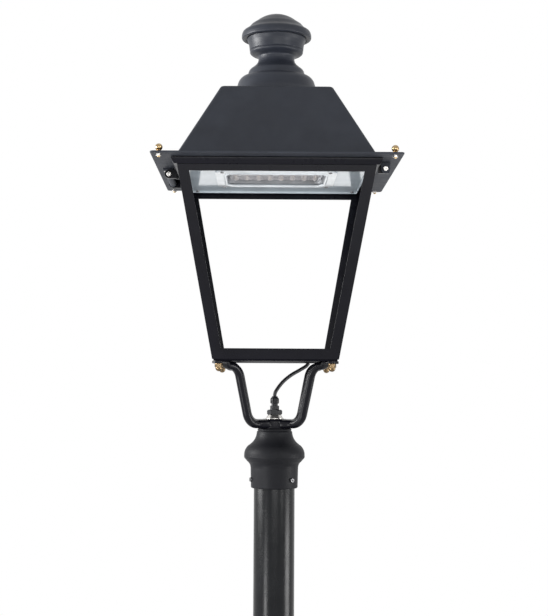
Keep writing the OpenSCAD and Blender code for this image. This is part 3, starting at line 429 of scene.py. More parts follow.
class Graph:
    """Node tree of a new material or world, with short calls that add and join nodes."""

    def __init__(self, owner: Union[bpy.types.Material, bpy.types.World]) -> None:
        """Takes over the owner's node tree and clears it.

        Args:
            owner: Material or world.
        """
        owner.use_nodes = True
        self.tree = owner.node_tree
        self.tree.nodes.clear()

    def add(self, kind: str, inputs: Inputs, **settings: Any) -> bpy.types.Node:
        """Adds a node and fills its inputs.

        Args:
            kind: Type of the node without its prefix.
            inputs: Values or sockets, by the name or number of the input.
            **settings: Properties of the node.

        Returns:
            The new node.
        """
        node = self.tree.nodes.new("ShaderNode" + kind)
        for key, value in settings.items():
            setattr(node, key, value)
        for key, value in inputs.items():
            if isinstance(value, Socket):
                self.tree.links.new(value, node.inputs[key])
            else:
                node.inputs[key].default_value = value
        return node

    @cached_property
    def place(self) -> Socket:
        """Socket of the object's own coordinates."""
        return self.add("TexCoord", {}).outputs["Object"]

    def noise(self, size: float, detail: float = 2.0, stretch: Point = (1, 1, 1)) -> Socket:
        """Cloudy noise from 0 to 1.

        Args:
            size: Size of its clouds in metres.
            detail: Octaves of finer clouds.
            stretch: Scale of the coordinates along each axis.

        Returns:
            Socket of the noise.
        """
        place = self.add("Mapping", {"Vector": self.place, "Scale": stretch}).outputs[0]
        keys = {"Vector": place, "Scale": 1 / size, "Detail": detail}
        return self.add("TexNoise", keys).outputs[0]

    def cells(self, size: float, output: str = "Distance") -> Socket:
        """Scattered points this far apart: the distance to the nearest, or its colour."""
        return self.add("TexVoronoi", {"Vector": self.place, "Scale": 1 / size}).outputs[output]

    def span(self, value: Socket, low: float, high: float, start: float, end: float) -> Socket:
        """Socket that maps one span of numbers to another, clamped.

        Args:
            value: Socket to map.
            low: Start of the span that comes in.
            high: End of the span that comes in.
            start: Start of the span that goes out.
            end: End of the span that goes out.

        Returns:
            Socket of the result.
        """
        return self.add("MapRange", {0: value, 1: low, 2: high, 3: start, 4: end}).outputs[0]

    def patches(self, size: float, detail: float = 3.0, stretch: Point = (1, 1, 1)) -> Socket:
        """Noise whose middle tones are spread over the whole span from 0 to 1."""
        return self.span(self.noise(size, detail, stretch), 0.35, 0.65, 0, 1)

    def about(self, noise: Socket, middle: float, less: float, more: float) -> Socket:
        """Roughness that a noise lets vary a little below and above its middle."""
        return self.span(noise, 0.3, 0.7, middle - less, middle + more)

    def maths(self, operation: str, a: Any, b: Any) -> Socket:
        """Socket of two numbers joined by an operation."""
        return self.add("Math", {0: a, 1: b}, operation=operation).outputs[0]

    def blend(self, factor: Socket, a: Any, b: Any) -> Socket:
        """Socket of a colour that goes from a to b as the factor goes from 0 to 1."""
        ends = {k: v if isinstance(v, Socket) else (*v, 1) for k, v in ((6, a), (7, b))}
        return self.add("Mix", {0: factor, **ends}, data_type="RGBA").outputs[2]

    def bump(self, height: Socket, depth: float) -> Socket:
        """Normal that follows a height from 0 to 1, over a depth in metres."""
        return self.add("Bump", {"Height": height, "Distance": depth, "Strength": 1.0}).outputs[0]

    def edges(self) -> Socket:
        """Socket that is 1 on convex edges and 0 on flat faces."""
        return self.span(self.add("NewGeometry", {}).outputs["Pointiness"], 0.52, 0.62, 0, 1)

    def seen(self) -> Socket:
        """Socket that is 1 for rays that see the white straight, mirrored or through glass.

        Returns:
            Socket of 1 or 0.
        """
        path = self.add("LightPath", {}).outputs
        seen = self.maths("MAXIMUM", path["Is Camera Ray"], path["Is Glossy Ray"])
        return self.maths("MAXIMUM", seen, path["Is Transmission Ray"])

    def end(self, shader: bpy.types.Node, output: str = "OutputMaterial") -> None:
        """Joins a shader to a new output node."""
        self.add(output, {"Surface": shader.outputs[0]})


def shade(colour: Colour, factor: float) -> Colour:
    """Colour made darker or lighter by a factor."""
    return tuple(min(1.0, c * factor) for c in colour)


@dataclass(frozen=True)
class PowderCoat:
    """Baked powder paint: pitted peel with painted shade in its pits, faint mottling, and lighter
    edges that are partly a coat run thin and partly a painted highlight.

    Attributes:
        colour: Paint in linear light.
        roughness: Middle of the roughness.
        peel: Distance between two waves of the peel in metres.
        depth: Depth of the peel in metres.
        pits: Share of the depth that lies in small round pits.
        shine: Specular level.
    """

    colour: Colour
    roughness: float
    peel: float
    depth: float
    pits: float = 0.4
    shine: float = 0.5

    def inputs(self, g: Graph) -> Inputs:
        """Works out the principled shader's inputs.

        Args:
            g: Graph of the material.

        Returns:
            Values and sockets, by the name of the input.
        """
        pits = g.span(g.cells(self.peel * 1.4), 0, 0.42, 0, 1)
        waves = g.maths("MULTIPLY", g.noise(self.peel, 2.5), 1 - self.pits)
        height = g.maths("ADD", waves, g.maths("MULTIPLY", pits, self.pits))
        tone = g.blend(g.patches(0.06), shade(self.colour, 0.88), shade(self.colour, 1.12))
        # painted shade: the colour darkens towards the bottom of each pit
        tone = g.blend(g.span(pits, 0, 0.5, 0.35, 0), tone, shade(self.colour, 0.45))
        # lighter on convex edges: partly a coat worn thin, partly a painted highlight along the
        # edge lines
        tone = g.blend(g.span(g.edges(), 0, 1, 0, 0.4), tone, shade(self.colour, 2.2))
        return {
            "Base Color": tone,
            "Roughness": g.about(g.noise(0.025, 3.0), self.roughness, 0.04, 0.05),
            "Specular IOR Level": self.shine,
            "Normal": g.bump(height, self.depth),
        }


@dataclass(frozen=True)
class BareMetal:
    """Unpainted metal with turning or brushing marks and slightly dulled patches.

    Attributes:
        colour: Reflected colour in linear light.
        roughness: Middle of the roughness.
        marks: Scale of the marks along each axis.
        depth: Depth of the marks in metres.
        dull: Colour of the dulled patches.
    """

    colour: Colour
    roughness: float
    marks: Point = (1, 1, 9)
    depth: float = 1.2e-5
    dull: Colour = (0.3, 0.3, 0.3)

    def inputs(self, g: Graph) -> Inputs:
        """Works out the principled shader's inputs.

        Args:
            g: Graph of the material.

        Returns:
            Values and sockets, by the name of the input.
        """
        marks = g.noise(0.004, 3.0, self.marks)
        patches = g.span(g.noise(0.009, 3.0), 0.45, 0.75, 0, 0.45)
        return {
            "Base Color": g.blend(patches, self.colour, self.dull),
            "Metallic": 1.0,
            "Roughness": g.about(marks, self.roughness, 0.06, 0.08),
            "Normal": g.bump(marks, self.depth),
        }


@dataclass(frozen=True)
class Spangle:
    """Zinc-coated sheet with its crystal pattern.

    Attributes:
        colour: Mean reflected colour.
        size: Size of a crystal in metres.
    """

    colour: Colour = (0.52, 0.54, 0.56)
    size: float = 0.012

    def inputs(self, g: Graph) -> Inputs:
        """Works out the principled shader's inputs.

        Args:
            g: Graph of the material.

        Returns:
            Values and sockets, by the name of the input.
        """
        value = g.add("SeparateColor", {0: g.cells(self.size, "Color")}).outputs[0]
        return {
            "Base Color": g.blend(value, shade(self.colour, 0.82), shade(self.colour, 1.2)),
            "Metallic": 0.85,
            "Roughness": g.span(value, 0, 1, 0.34, 0.5),
            "Normal": g.bump(g.noise(0.002, 2.0, (1, 7, 1)), 1e-5),
        }


@dataclass(frozen=True)
class CastMetal:
    """Raw die-cast metal with a dull grain.

    Attributes:
        colour: Mean colour.
        grain: Size of the grain in metres.
    """

    colour: Colour = (0.42, 0.43, 0.45)
    grain: float = 0.0011

    def inputs(self, g: Graph) -> Inputs:
        """Works out the principled shader's inputs.

        Args:
            g: Graph of the material.

        Returns:
            Values and sockets, by the name of the input.
        """
        grain = g.noise(self.grain, 4.0)
        flow = g.patches(0.03, 2.0, (1, 3, 1))
        return {
            "Base Color": g.blend(flow, shade(self.colour, 0.85), shade(self.colour, 1.1)),
            "Metallic": 0.7,
            "Roughness": g.span(grain, 0.3, 0.7, 0.42, 0.6),
            "Normal": g.bump(grain, 7e-5),
        }


@dataclass(frozen=True)
class GlossEnamel:
    """Smooth bright enamel with a faint wave, as on a reflector.

    Attributes:
        colour: Enamel in linear light.
        roughness: Roughness of the gloss.
        wave: Size of the waves in metres.
        depth: Depth of the waves in metres.
        coat: Weight of the clear coat.
    """

    colour: Colour
    roughness: float = 0.1
    wave: float = 0.02
    depth: float = 2e-5
    coat: float = 0.26

    def inputs(self, g: Graph) -> Inputs:
        """Works out the principled shader's inputs.

        Args:
            g: Graph of the material.

        Returns:
            Values and sockets, by the name of the input.
        """
        cloud = g.patches(0.05, 2.0)
        dust = g.span(g.noise(0.0016, 3.0), 0.62, 0.8, 0, 0.12)
        tone = g.blend(cloud, shade(self.colour, 0.96), shade(self.colour, 1.03))
        return {
            "Base Color": g.blend(dust, tone, shade(self.colour, 0.7)),
            "Roughness": g.span(cloud, 0, 1, self.roughness - 0.02, self.roughness + 0.03),
            "Specular IOR Level": 0.6,
            "Coat Weight": self.coat,
            "Coat Roughness": 0.05,
            "Normal": g.bump(g.noise(self.wave, 1.5), self.depth),
        }


@dataclass(frozen=True)
class MouldedPlastic:
    """Moulded plastic or rubber with a fine eroded grain.

    Attributes:
        colour: Colour in linear light.
        roughness: Middle of the roughness.
        grain: Size of the grain in metres.
        depth: Depth of the grain in metres.
        shine: Specular level.
    """

    colour: Colour
    roughness: float
    grain: float = 0.0006
    depth: float = 3e-5
    shine: float = 0.3

    def inputs(self, g: Graph) -> Inputs:
        """Works out the principled shader's inputs.

        Args:
            g: Graph of the material.

        Returns:
            Values and sockets, by the name of the input.
        """
        grain = g.noise(self.grain, 3.0)
        bloom = g.span(g.noise(0.015, 3.0), 0.4, 0.7, 0, 0.5)
        return {
            "Base Color": g.blend(bloom, self.colour, shade(self.colour, 1.35)),
            "Roughness": g.about(grain, self.roughness, 0.06, 0.06),
            "Specular IOR Level": self.shine,
            "Normal": g.bump(grain, self.depth),
        }


@dataclass(frozen=True)
class ClearMoulding:
    """Milky optical plastic with a soft moulded skin.

    Attributes:
        tint: Colour that light takes on inside.
        roughness: Middle of the roughness.
        clear: Share of the light that goes through.
    """

    tint: Colour = (0.9, 0.86, 0.875)
    roughness: float = 0.12
    clear: float = 0.55

    def inputs(self, g: Graph) -> Inputs:
        """Works out the principled shader's inputs.

        Args:
            g: Graph of the material.

        Returns:
            Values and sockets, by the name of the input.
        """
        skin = g.noise(0.003, 2.0)
        return {
            "Base Color": g.blend(skin, self.tint, shade(self.tint, 0.94)),
            "Roughness": g.about(skin, self.roughness, 0.05, 0.05),
            "Transmission Weight": self.clear,
            "IOR": 1.5,
            "Normal": g.bump(skin, 2e-5),
        }


@dataclass(frozen=True)
class Phosphor:
    """Yellow dot of a light source in its white package.

    Attributes:
        dot: Colour of the phosphor.
        package: Colour of the package.
    """

    dot: Colour = (0.86, 0.62, 0.16)
    package: Colour = (0.82, 0.82, 0.8)

    def inputs(self, g: Graph) -> Inputs:
        """Works out the principled shader's inputs.

        Args:
            g: Graph of the material.

        Returns:
            Values and sockets, by the name of the input.
        """
        grain = g.noise(0.0004, 2.0)
        return {
            "Base Color": g.blend(g.span(grain, 0.4, 0.6, 0.1, 0.5), self.dot, self.package),
            "Roughness": g.span(grain, 0.3, 0.7, 0.4, 0.55),
            "Normal": g.bump(grain, 2e-5),
        }


class Finish(Enum):
    """Finishes of the garden light, by the record's material slots."""

    FRAME_BLACK = (
        "frame_black",
        PowderCoat((0.003, 0.003, 0.0054), 0.3, 0.0016, 2.2e-5, 0.3, 0.16),
    )
    PLATE_BLACK = (
        "frame_black",
        PowderCoat((0.004, 0.004, 0.0065), 0.5, 0.0016, 2.2e-5, 0.3, 0.03),
    )
    POST_BLACK = (
        "post_black",
        PowderCoat((0.004, 0.0045, 0.0055), 0.24, 0.0022, 1.3e-4, 0.5, 0.2),
    )
    COLLAR_GREY = (
        "collar_grey",
        PowderCoat((0.0095, 0.0098, 0.0118), 0.48, 0.0011, 6e-5, 0.3, 0.11),
    )
    ROOF_SLATE = ("roof_slate", PowderCoat((0.023, 0.026, 0.0345), 0.6, 0.0012, 8e-5, 0.3, 0.27))
    CHIMNEY_BLACK = (
        "chimney_black",
        PowderCoat((0.021, 0.024, 0.033), 0.4, 0.0012, 7e-5, 0.3, 0.28),
    )
    STAINLESS = ("stainless", BareMetal((0.72, 0.7, 0.67), 0.25, dull=(0.4, 0.38, 0.36)))
    BRASS = ("brass", BareMetal((0.4, 0.29, 0.155), 0.17, dull=(0.16, 0.1, 0.045)))
    AGED_BRASS = ("brass", BareMetal((0.19, 0.135, 0.075), 0.15, dull=(0.06, 0.037, 0.02)))
    DARK_STEEL = ("stainless", BareMetal((0.16, 0.16, 0.165), 0.27, dull=(0.05, 0.05, 0.053)))
    GLAND_PLASTIC = ("gland_plastic", MouldedPlastic((0.009, 0.0095, 0.012), 0.34))
    RUBBER = ("rubber", MouldedPlastic((0.01, 0.01, 0.011), 0.68, 0.0009))
    LEAD_SHEATH = ("lead_sheath", MouldedPlastic((0.012, 0.012, 0.014), 0.38, 0.0012, 2e-5))
    TRAY_GREY = ("tray_grey", GlossEnamel((0.47, 0.53, 0.575)))
    BEZEL_PALE = ("tray_grey", GlossEnamel((0.74, 0.78, 0.81), 0.14))
    HEATSINK = ("heatsink", CastMetal())
    BOARD_WHITE = ("board_white", GlossEnamel((0.82, 0.82, 0.8), 0.35, 0.004, 1e-5))
    LENS_CLEAR = ("lens_clear", ClearMoulding())
    DRIVER_WHITE = ("driver_white", MouldedPlastic((0.78, 0.78, 0.76), 0.5, 0.0009))
    ZINC_SHEET = ("heatsink", Spangle())
    PHOSPHOR = ("board_white", Phosphor())

    def __init__(self, slot: str, look: Any) -> None:
        """Keeps the slot's name and the look's class.

        Args:
            slot: Name of the record's material slot.
            look: Class that works out the shader's inputs.
        """
        self.slot = slot
        self.look = look

    def material(self) -> bpy.types.Material:
        """Makes the finish's material at its first use, and finds it again after that.

        Returns:
            The material.
        """
        name = "look_" + self.name.lower()
        made = bpy.data.materials.get(name)
        if made is None:
            made = bpy.data.materials.new(name)
            graph = Graph(made)
            graph.end(graph.add("BsdfPrincipled", self.look.inputs(graph)))
        return made


def dress(piece: Piece, finish: Finish, *nodes: str, body: Body = Body.ROOT) -> Piece:
    """Gives a piece its finish and body, and lets it stand for CAD nodes.

    Args:
        piece: Object in its place.
        finish: Finish of the piece.
        *nodes: CAD nodes that it stands for.
        body: Body that it rides on.

    Returns:
        The same object.
    """
    piece.data.materials.clear()
    piece.data.materials.append(finish.material())
    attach(piece, body.value)
    if nodes:
        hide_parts(*nodes)
    LOG.info("%s: %d faces, %s", piece.name, len(piece.data.polygons), finish.slot)
    return piece


def dress_copies(*rows: tuple[str, str, Finish, float], body: Body = Body.ROOT) -> None:
    """Stands copies with eased edges in the places of CAD nodes.

    Args:
        *rows: CAD node, name of its copy, finish and width of the bevels in metres.
        body: Body that the copies ride on.
    """
    for node, name, finish, width in rows:
        dress(eased(merged_copy(node, name), width), finish, node, body=body)


def dress_node(node: str, finish: Finish) -> None:
    """Gives a CAD node that stays in view its material.

    Args:
        node: Name of the CAD node.
        finish: Finish of the node.
    """
    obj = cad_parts[node]
    if not obj.material_slots:
        obj.data.materials.append(None)
    for holder in obj.material_slots:
        holder.material = finish.material()
    LOG.info("%s: kept, %s", node, finish.slot)


# Sub-assemblies


@dataclass(frozen=True)
class SoftBox:
    """One soft box of the studio.

    Attributes:
        name: Name of the lamp.
        place: Where it stands.
        aim: Height on the part's axis at which it points.
        width: Width of its face.
        height: Height of its face.
        watts: Power.
    """

    name: str
    place: Point
    aim: float
    width: float
    height: float
    watts: float

    def build(self) -> None:
        """Makes the lamp."""
        data = bpy.data.lights.new(self.name, "AREA")
        data.shape = "RECTANGLE"
        data.size, data.size_y = self.width, self.height
        data.energy = self.watts
        lamp = bpy.data.objects.new(self.name, data)
        bpy.context.scene.collection.objects.link(lamp)
        lamp.location = self.place
        way = Vector((0, 0, self.aim)) - Vector(self.place)
        lamp.rotation_euler = way.to_track_quat("-Z", "Y").to_euler()


@dataclass
class Studio:
    """Camera, soft lamps, pale floor and white surroundings.

    The world and the floor show white to the rays that see them straight, mirrored or through
    glass, and light the object softly otherwise.

    Attributes:
        eye: Place of the camera.
        yaw: Turn of the camera to the right, in degrees.
        pitch: Tilt of the camera upwards, in degrees.
        roll: Turn of the picture, in degrees.
        lens: Focal length in millimetres.
        sensor: Length of the sensor's long side in millimetres.
        sight: Distance to which the camera sees.
        sky: Colour of the world that lights the object.
        soft: Strength of that world.
        floor_r: Radius of the floor.
        floor_z: Height of the floor, just under the base plate.
        ground: Colour of the floor near the object.
        fade: Distances from the axis where the floor starts and ends to turn white.
        boxes: Soft boxes.
    """

    eye: Point = (-0.025, -2.42, 1.2973)
    yaw: float = 0.54
    pitch: float = 3.55
    roll: float = 0.3
    lens: float = 75.45
    sensor: float = 36.0
    sight: float = 100.0
    sky: Colour = (0.95, 0.97, 1.0)
    soft: float = 0.35
    floor_r: float = 14.0
    floor_z: float = -0.0005
    ground: Colour = (0.86, 0.86, 0.86)
    fade: tuple[float, float] = (0.5, 1.6)
    boxes: tuple[SoftBox, ...] = (
        SoftBox("left", (-2.12, -0.1, 1.75), 1.5, 1.2, 1.0, 78.0),
        SoftBox("low_left", (-1.5, -1.4, 0.6), 1.0, 0.5, 0.7, 19.0),
        SoftBox("right", (1.96, -0.38, 0.85), 1.1, 0.9, 0.55, 18.0),
        SoftBox("high_right", (1.39, -1.44, 1.65), 1.9, 0.35, 0.6, 10.0),
        SoftBox("front", (0.2, -2.9, 1.72), 1.9, 1.6, 0.5, 18.0),
        SoftBox("top", (0.3, -0.4, 3.4), 1.7, 1.4, 1.4, 1.5),
    )

    def camera(self) -> bpy.types.Object:
        """Makes the scene's camera.

        Returns:
            The camera object.
        """
        data = bpy.data.cameras.new("camera")
        data.lens = self.lens
        data.sensor_width = self.sensor
        data.clip_end = self.sight
        camera = bpy.data.objects.new("camera", data)
        bpy.context.scene.collection.objects.link(camera)
        turn = Matrix.Rotation(math.radians(-self.yaw), 4, "Z")
        tilt = Matrix.Rotation(math.radians(90 + self.pitch), 4, "X")
        roll = Matrix.Rotation(math.radians(self.roll), 4, "Z")
        camera.matrix_world = Matrix.Translation(self.eye) @ turn @ tilt @ roll
        bpy.context.scene.camera = camera
        return camera

    def world(self) -> None:
        """Makes the surroundings."""
        world = bpy.data.worlds.new("surroundings")
        bpy.context.scene.world = world
        g = Graph(world)
        soft = g.add("Background", {"Color": (*self.sky, 1), "Strength": self.soft})
        white = g.add("Background", {"Color": WHITE, "Strength": 1.0})
        both = {0: g.seen(), 1: soft.outputs[0], 2: white.outputs[0]}
        g.end(g.add("MixShader", both), "OutputWorld")

    def floor(self) -> None:
        """Makes a round pale floor that keeps the shadow and fades into the white behind it."""
        t = full_turn(96)
        rim = around(self.floor_r + 0 * t, self.floor_z, t)
        floor = new_piece("floor", rim, np.arange(len(t))[None])
        material = bpy.data.materials.new("pale_floor")
        g = Graph(material)
        away = g.add("VectorMath", {0: g.place}, operation="LENGTH").outputs["Value"]
        far = g.span(away, *self.fade, 0, 1)
        paint = g.add("BsdfDiffuse", {"Color": (*self.ground, 1)})
        glow = g.add("Emission", {"Color": WHITE, "Strength": 1.0})
        share = g.maths("MULTIPLY", far, g.seen())
        g.end(g.add("MixShader", {0: share, 1: paint.outputs[0], 2: glow.outputs[0]}))
        floor.data.materials.append(material)

    def build(self) -> None:
        """Makes lamps, surroundings and floor."""
        for box in self.boxes:
            box.build()
        self.world()
        self.floor()


@dataclass
class Supply:
    """Cable gland on the hub, the supply lead and its grommet.

    Attributes:
        dome_z: Foot of the gland's dome nut.
        dome_top: Crown of the dome nut, where the lead leaves it.
        dome_r: Radius of the dome nut over its ribs.
        ribs: Number of its ribs.
        rib_h: Height of a rib.
        grip: Share of the dome nut's height that has ribs.
        lead_r: Radius of the lead.
        end: Where the lead enters the grommet.
        route: Points of the lead above the crown.
    """

    dome_z: float = 1.2685
    dome_top: float = 1.282
    dome_r: float = 0.0081
    ribs: int = 12
    rib_h: float = 0.0009
    grip: float = 0.68
    lead_r: float = 0.0034
    end: Point = (0.064, 0.029, 1.3446)
    route: tuple[Point, ...] = (
        (0, 0, 0),
        (0.0003, 0.0001, 0.005),
        (0.0025, 0.001, 0.01),
        (0.0085, 0.0038, 0.0188),
        (0.016, 0.0072, 0.0276),
        (0.025, 0.0113, 0.0355),
        (0.035, 0.0158, 0.0425),
        (0.0455, 0.0206, 0.0485),
        (0.054, 0.0245, 0.0535),
        (0.0605, 0.0274, 0.058),
    )

    def lead(self) -> Piece:
        """Round lead on a smooth curve through the route's points.

        Returns:
            The lead, dressed.
        """
        stops = np.array(self.route) + (0, 0, self.dome_top)
        path = spline(np.vstack([stops, self.end]), 40)
        across = np.array([-self.end[1], self.end[0], 0.0])
        across /= np.linalg.norm(across)
        half = np.full(len(path), self.lead_r)
        lead = swept("supply_cord", path, across, half, half, np.ones(len(path)), 24)
        dress(lead, Finish.LEAD_SHEATH, "supply_lead")
        return lead

    def dome_nut(self) -> Piece:
        """Dome nut with long gripping ribs and a short crown that narrows to the lead.

        Formula: the radius of the profile at each height, plus a rib height times a smooth
        comb of teeth round the axis, faded out above the grip.

        Returns:
            The nut.
        """
        top = self.dome_top - self.dome_z
        grip = self.grip * top
        mouth, root = self.lead_r + 0.0014, self.dome_r - self.rib_h
        rows = [
            [mouth, 0],
            [root - 0.0005, 0],
            [root, 0.0009],
            [root, grip],
            [root - 0.0009, grip + 0.0018],
            [mouth + 0.0005, top],
            [mouth + 0.0004, top],
            [mouth, top - 0.0006],
        ]
        profile = rounded(np.array(rows), 0.0004)
        r, z, t = profile[None, :, 0], profile[None, :, 1], full_turn(288)
        comb = 0.5 + 0.5 * np.tanh(5 * np.cos(self.ribs * t))
        on_grip = (r > self.dome_r - 0.0016) * np.clip(1 - (z - grip) / 0.0008, 0, 1)
        grid = around(r + self.rib_h * comb * on_grip, z + self.dome_z, t)
        return sheet_of("gland_crown", grid, True, True)

    def build(self) -> None:
        """Dresses gland, seal and grommet. The lead is made before them."""
        dress(self.dome_nut(), Finish.GLAND_PLASTIC, "gland_dome_nut")
        dress_node("gland_seal", Finish.RUBBER)
        dress_copies(
            ("gland_body", "gland_hex", Finish.GLAND_PLASTIC, 0.0004),
            ("lead_grommet", "floor_grommet", Finish.RUBBER, 0.0005),
        )


@dataclass
class GroundPost:
    """Base plate and post, with the weld between them.

    Attributes:
        foot_z: Top of the base plate.
        top_z: Top of the post.
        radius: Outer radius of the post.
        wall: Wall of the post.
        bead_r: Radius of the weld.
        pools: Number of the weld's pools.
    """

    foot_z: float = 0.012
    top_z: float = 1.172
    radius: float = 0.038
    wall: float = 0.003
    bead_r: float = 0.0042
    pools: int = 60

    def tube(self) -> Piece:
        """Post as a tube whose rims are slightly broken.

        Returns:
            The tube.
        """
        rows = [
            [self.radius, self.foot_z],
            [self.radius, self.top_z],
            [self.radius - self.wall, self.top_z],
            [self.radius - self.wall, self.foot_z],
        ]
        return turned("post_tube", rounded(np.array(rows), 0.0006), 128)

    def weld(self) -> Piece:
        """Fillet weld round the post's foot.

        Formula: a quarter-round ring whose radius swells and falls with each pool of the
        weld, a sine of the turn that leans with the height.

        Returns:
            The weld.
        """
        t = full_turn(360)
        a = np.radians(np.linspace(-20, 110, 9))[None]
        pools = self.bead_r + 0.00022 * np.sin(self.pools * t + 2 * a) + 0.0002 * np.sin(7 * t)
        r = self.radius - 0.0004 + pools * np.cos(a)
        z = self.foot_z - 0.0004 + pools * np.sin(a)
        r = np.hstack([r, self.radius - 0.0015 + 0 * t])
        z = np.hstack([z, self.foot_z - 0.0015 + 0 * t])
        return sheet_of("post_weld", around(r, z, t), True, True)

    def build(self) -> None:
        """Dresses base plate, post and weld."""
        dress_copies(("base_plate", "ground_plate", Finish.POST_BLACK, 0.0012))
        dress(self.tube(), Finish.POST_BLACK, "post")
        dress(self.weld(), Finish.POST_BLACK)


@dataclass
class SocketCollar:
    """Collar that slips over the post, with its set screws.

    Attributes:
        foot_z: Lower edge of the collar.
        post_top: Top of the post inside it.
        seat_z: Seat for the cradle.
        socket_r: Radius of the socket's bore.
        wall: Wall of the socket.
        bulge: How far the bulge stands out.
        seat_r: Radius of the seat.
        hollow_r: Radius of the post's bore.
        bore_r: Radius of the bore for the nipple.
    """

    foot_z: float = 1.112
    post_top: float = 1.172
    seat_z: float = 1.222
    socket_r: float = 0.0383
    wall: float = 0.0052
    bulge: float = 0.013
    seat_r: float = 0.03
    hollow_r: float = 0.035
    bore_r: float = 0.0092

    def outline(self) -> np.ndarray:
        """Closed outline of the casting, from the skirt up over the bulge and back inside.

        Returns:
            Array of points (radius, height).
        """
        skirt = self.socket_r + self.wall
        bulge = skirt + self.bulge
        seat, top = self.seat_r, self.seat_z
        crest = self.post_top - 0.002
        ledge = crest + 0.022
        outer = np.vstack(
            [
                [[skirt, self.foot_z + 0.0015], [skirt + 0.0008, crest - 0.02]],
                arc(skirt + 0.0145, crest - 0.02, 0.0135, 176, 125, 12),
                arc(bulge - 0.0046, crest, 0.0046, -48, 0, 8),
                arc(bulge - 0.023, crest + 0.0035, 0.023, 6, 52, 14),
                [[seat + 0.0162, ledge + 0.0002]],
                arc(seat + 0.032, top - 0.005, 0.029, 235, 182, 18),
                [[seat + 0.0012, top - 0.0039], [seat + 0.0012, top - 0.003]],
                [[seat + 0.0018, top - 0.0024], [seat + 0.0014, top - 0.0008]],
                [[seat + 0.0006, top]],
            ]
        )
        inner = [
            [self.bore_r, self.seat_z],
            [self.bore_r, top - 0.012],
            [seat - 0.008, top - 0.012],
            [self.hollow_r, self.post_top + 0.008],
            [self.hollow_r, self.post_top],
            [self.socket_r, self.post_top],
            [self.socket_r, self.foot_z + 0.001],
            [self.socket_r + 0.001, self.foot_z],
            [skirt - 0.0015, self.foot_z],
        ]
        return np.vstack([outer, inner])

    def build(self) -> None:
        """Dresses collar and set screws."""
        casting = turned("collar_casting", rounded(self.outline(), 0.0007), CAST_STEPS)
        dress(casting, Finish.COLLAR_GREY, "collar")
        dress_copies(("set_screws", "collar_screws", Finish.DARK_STEEL, 0.0003))


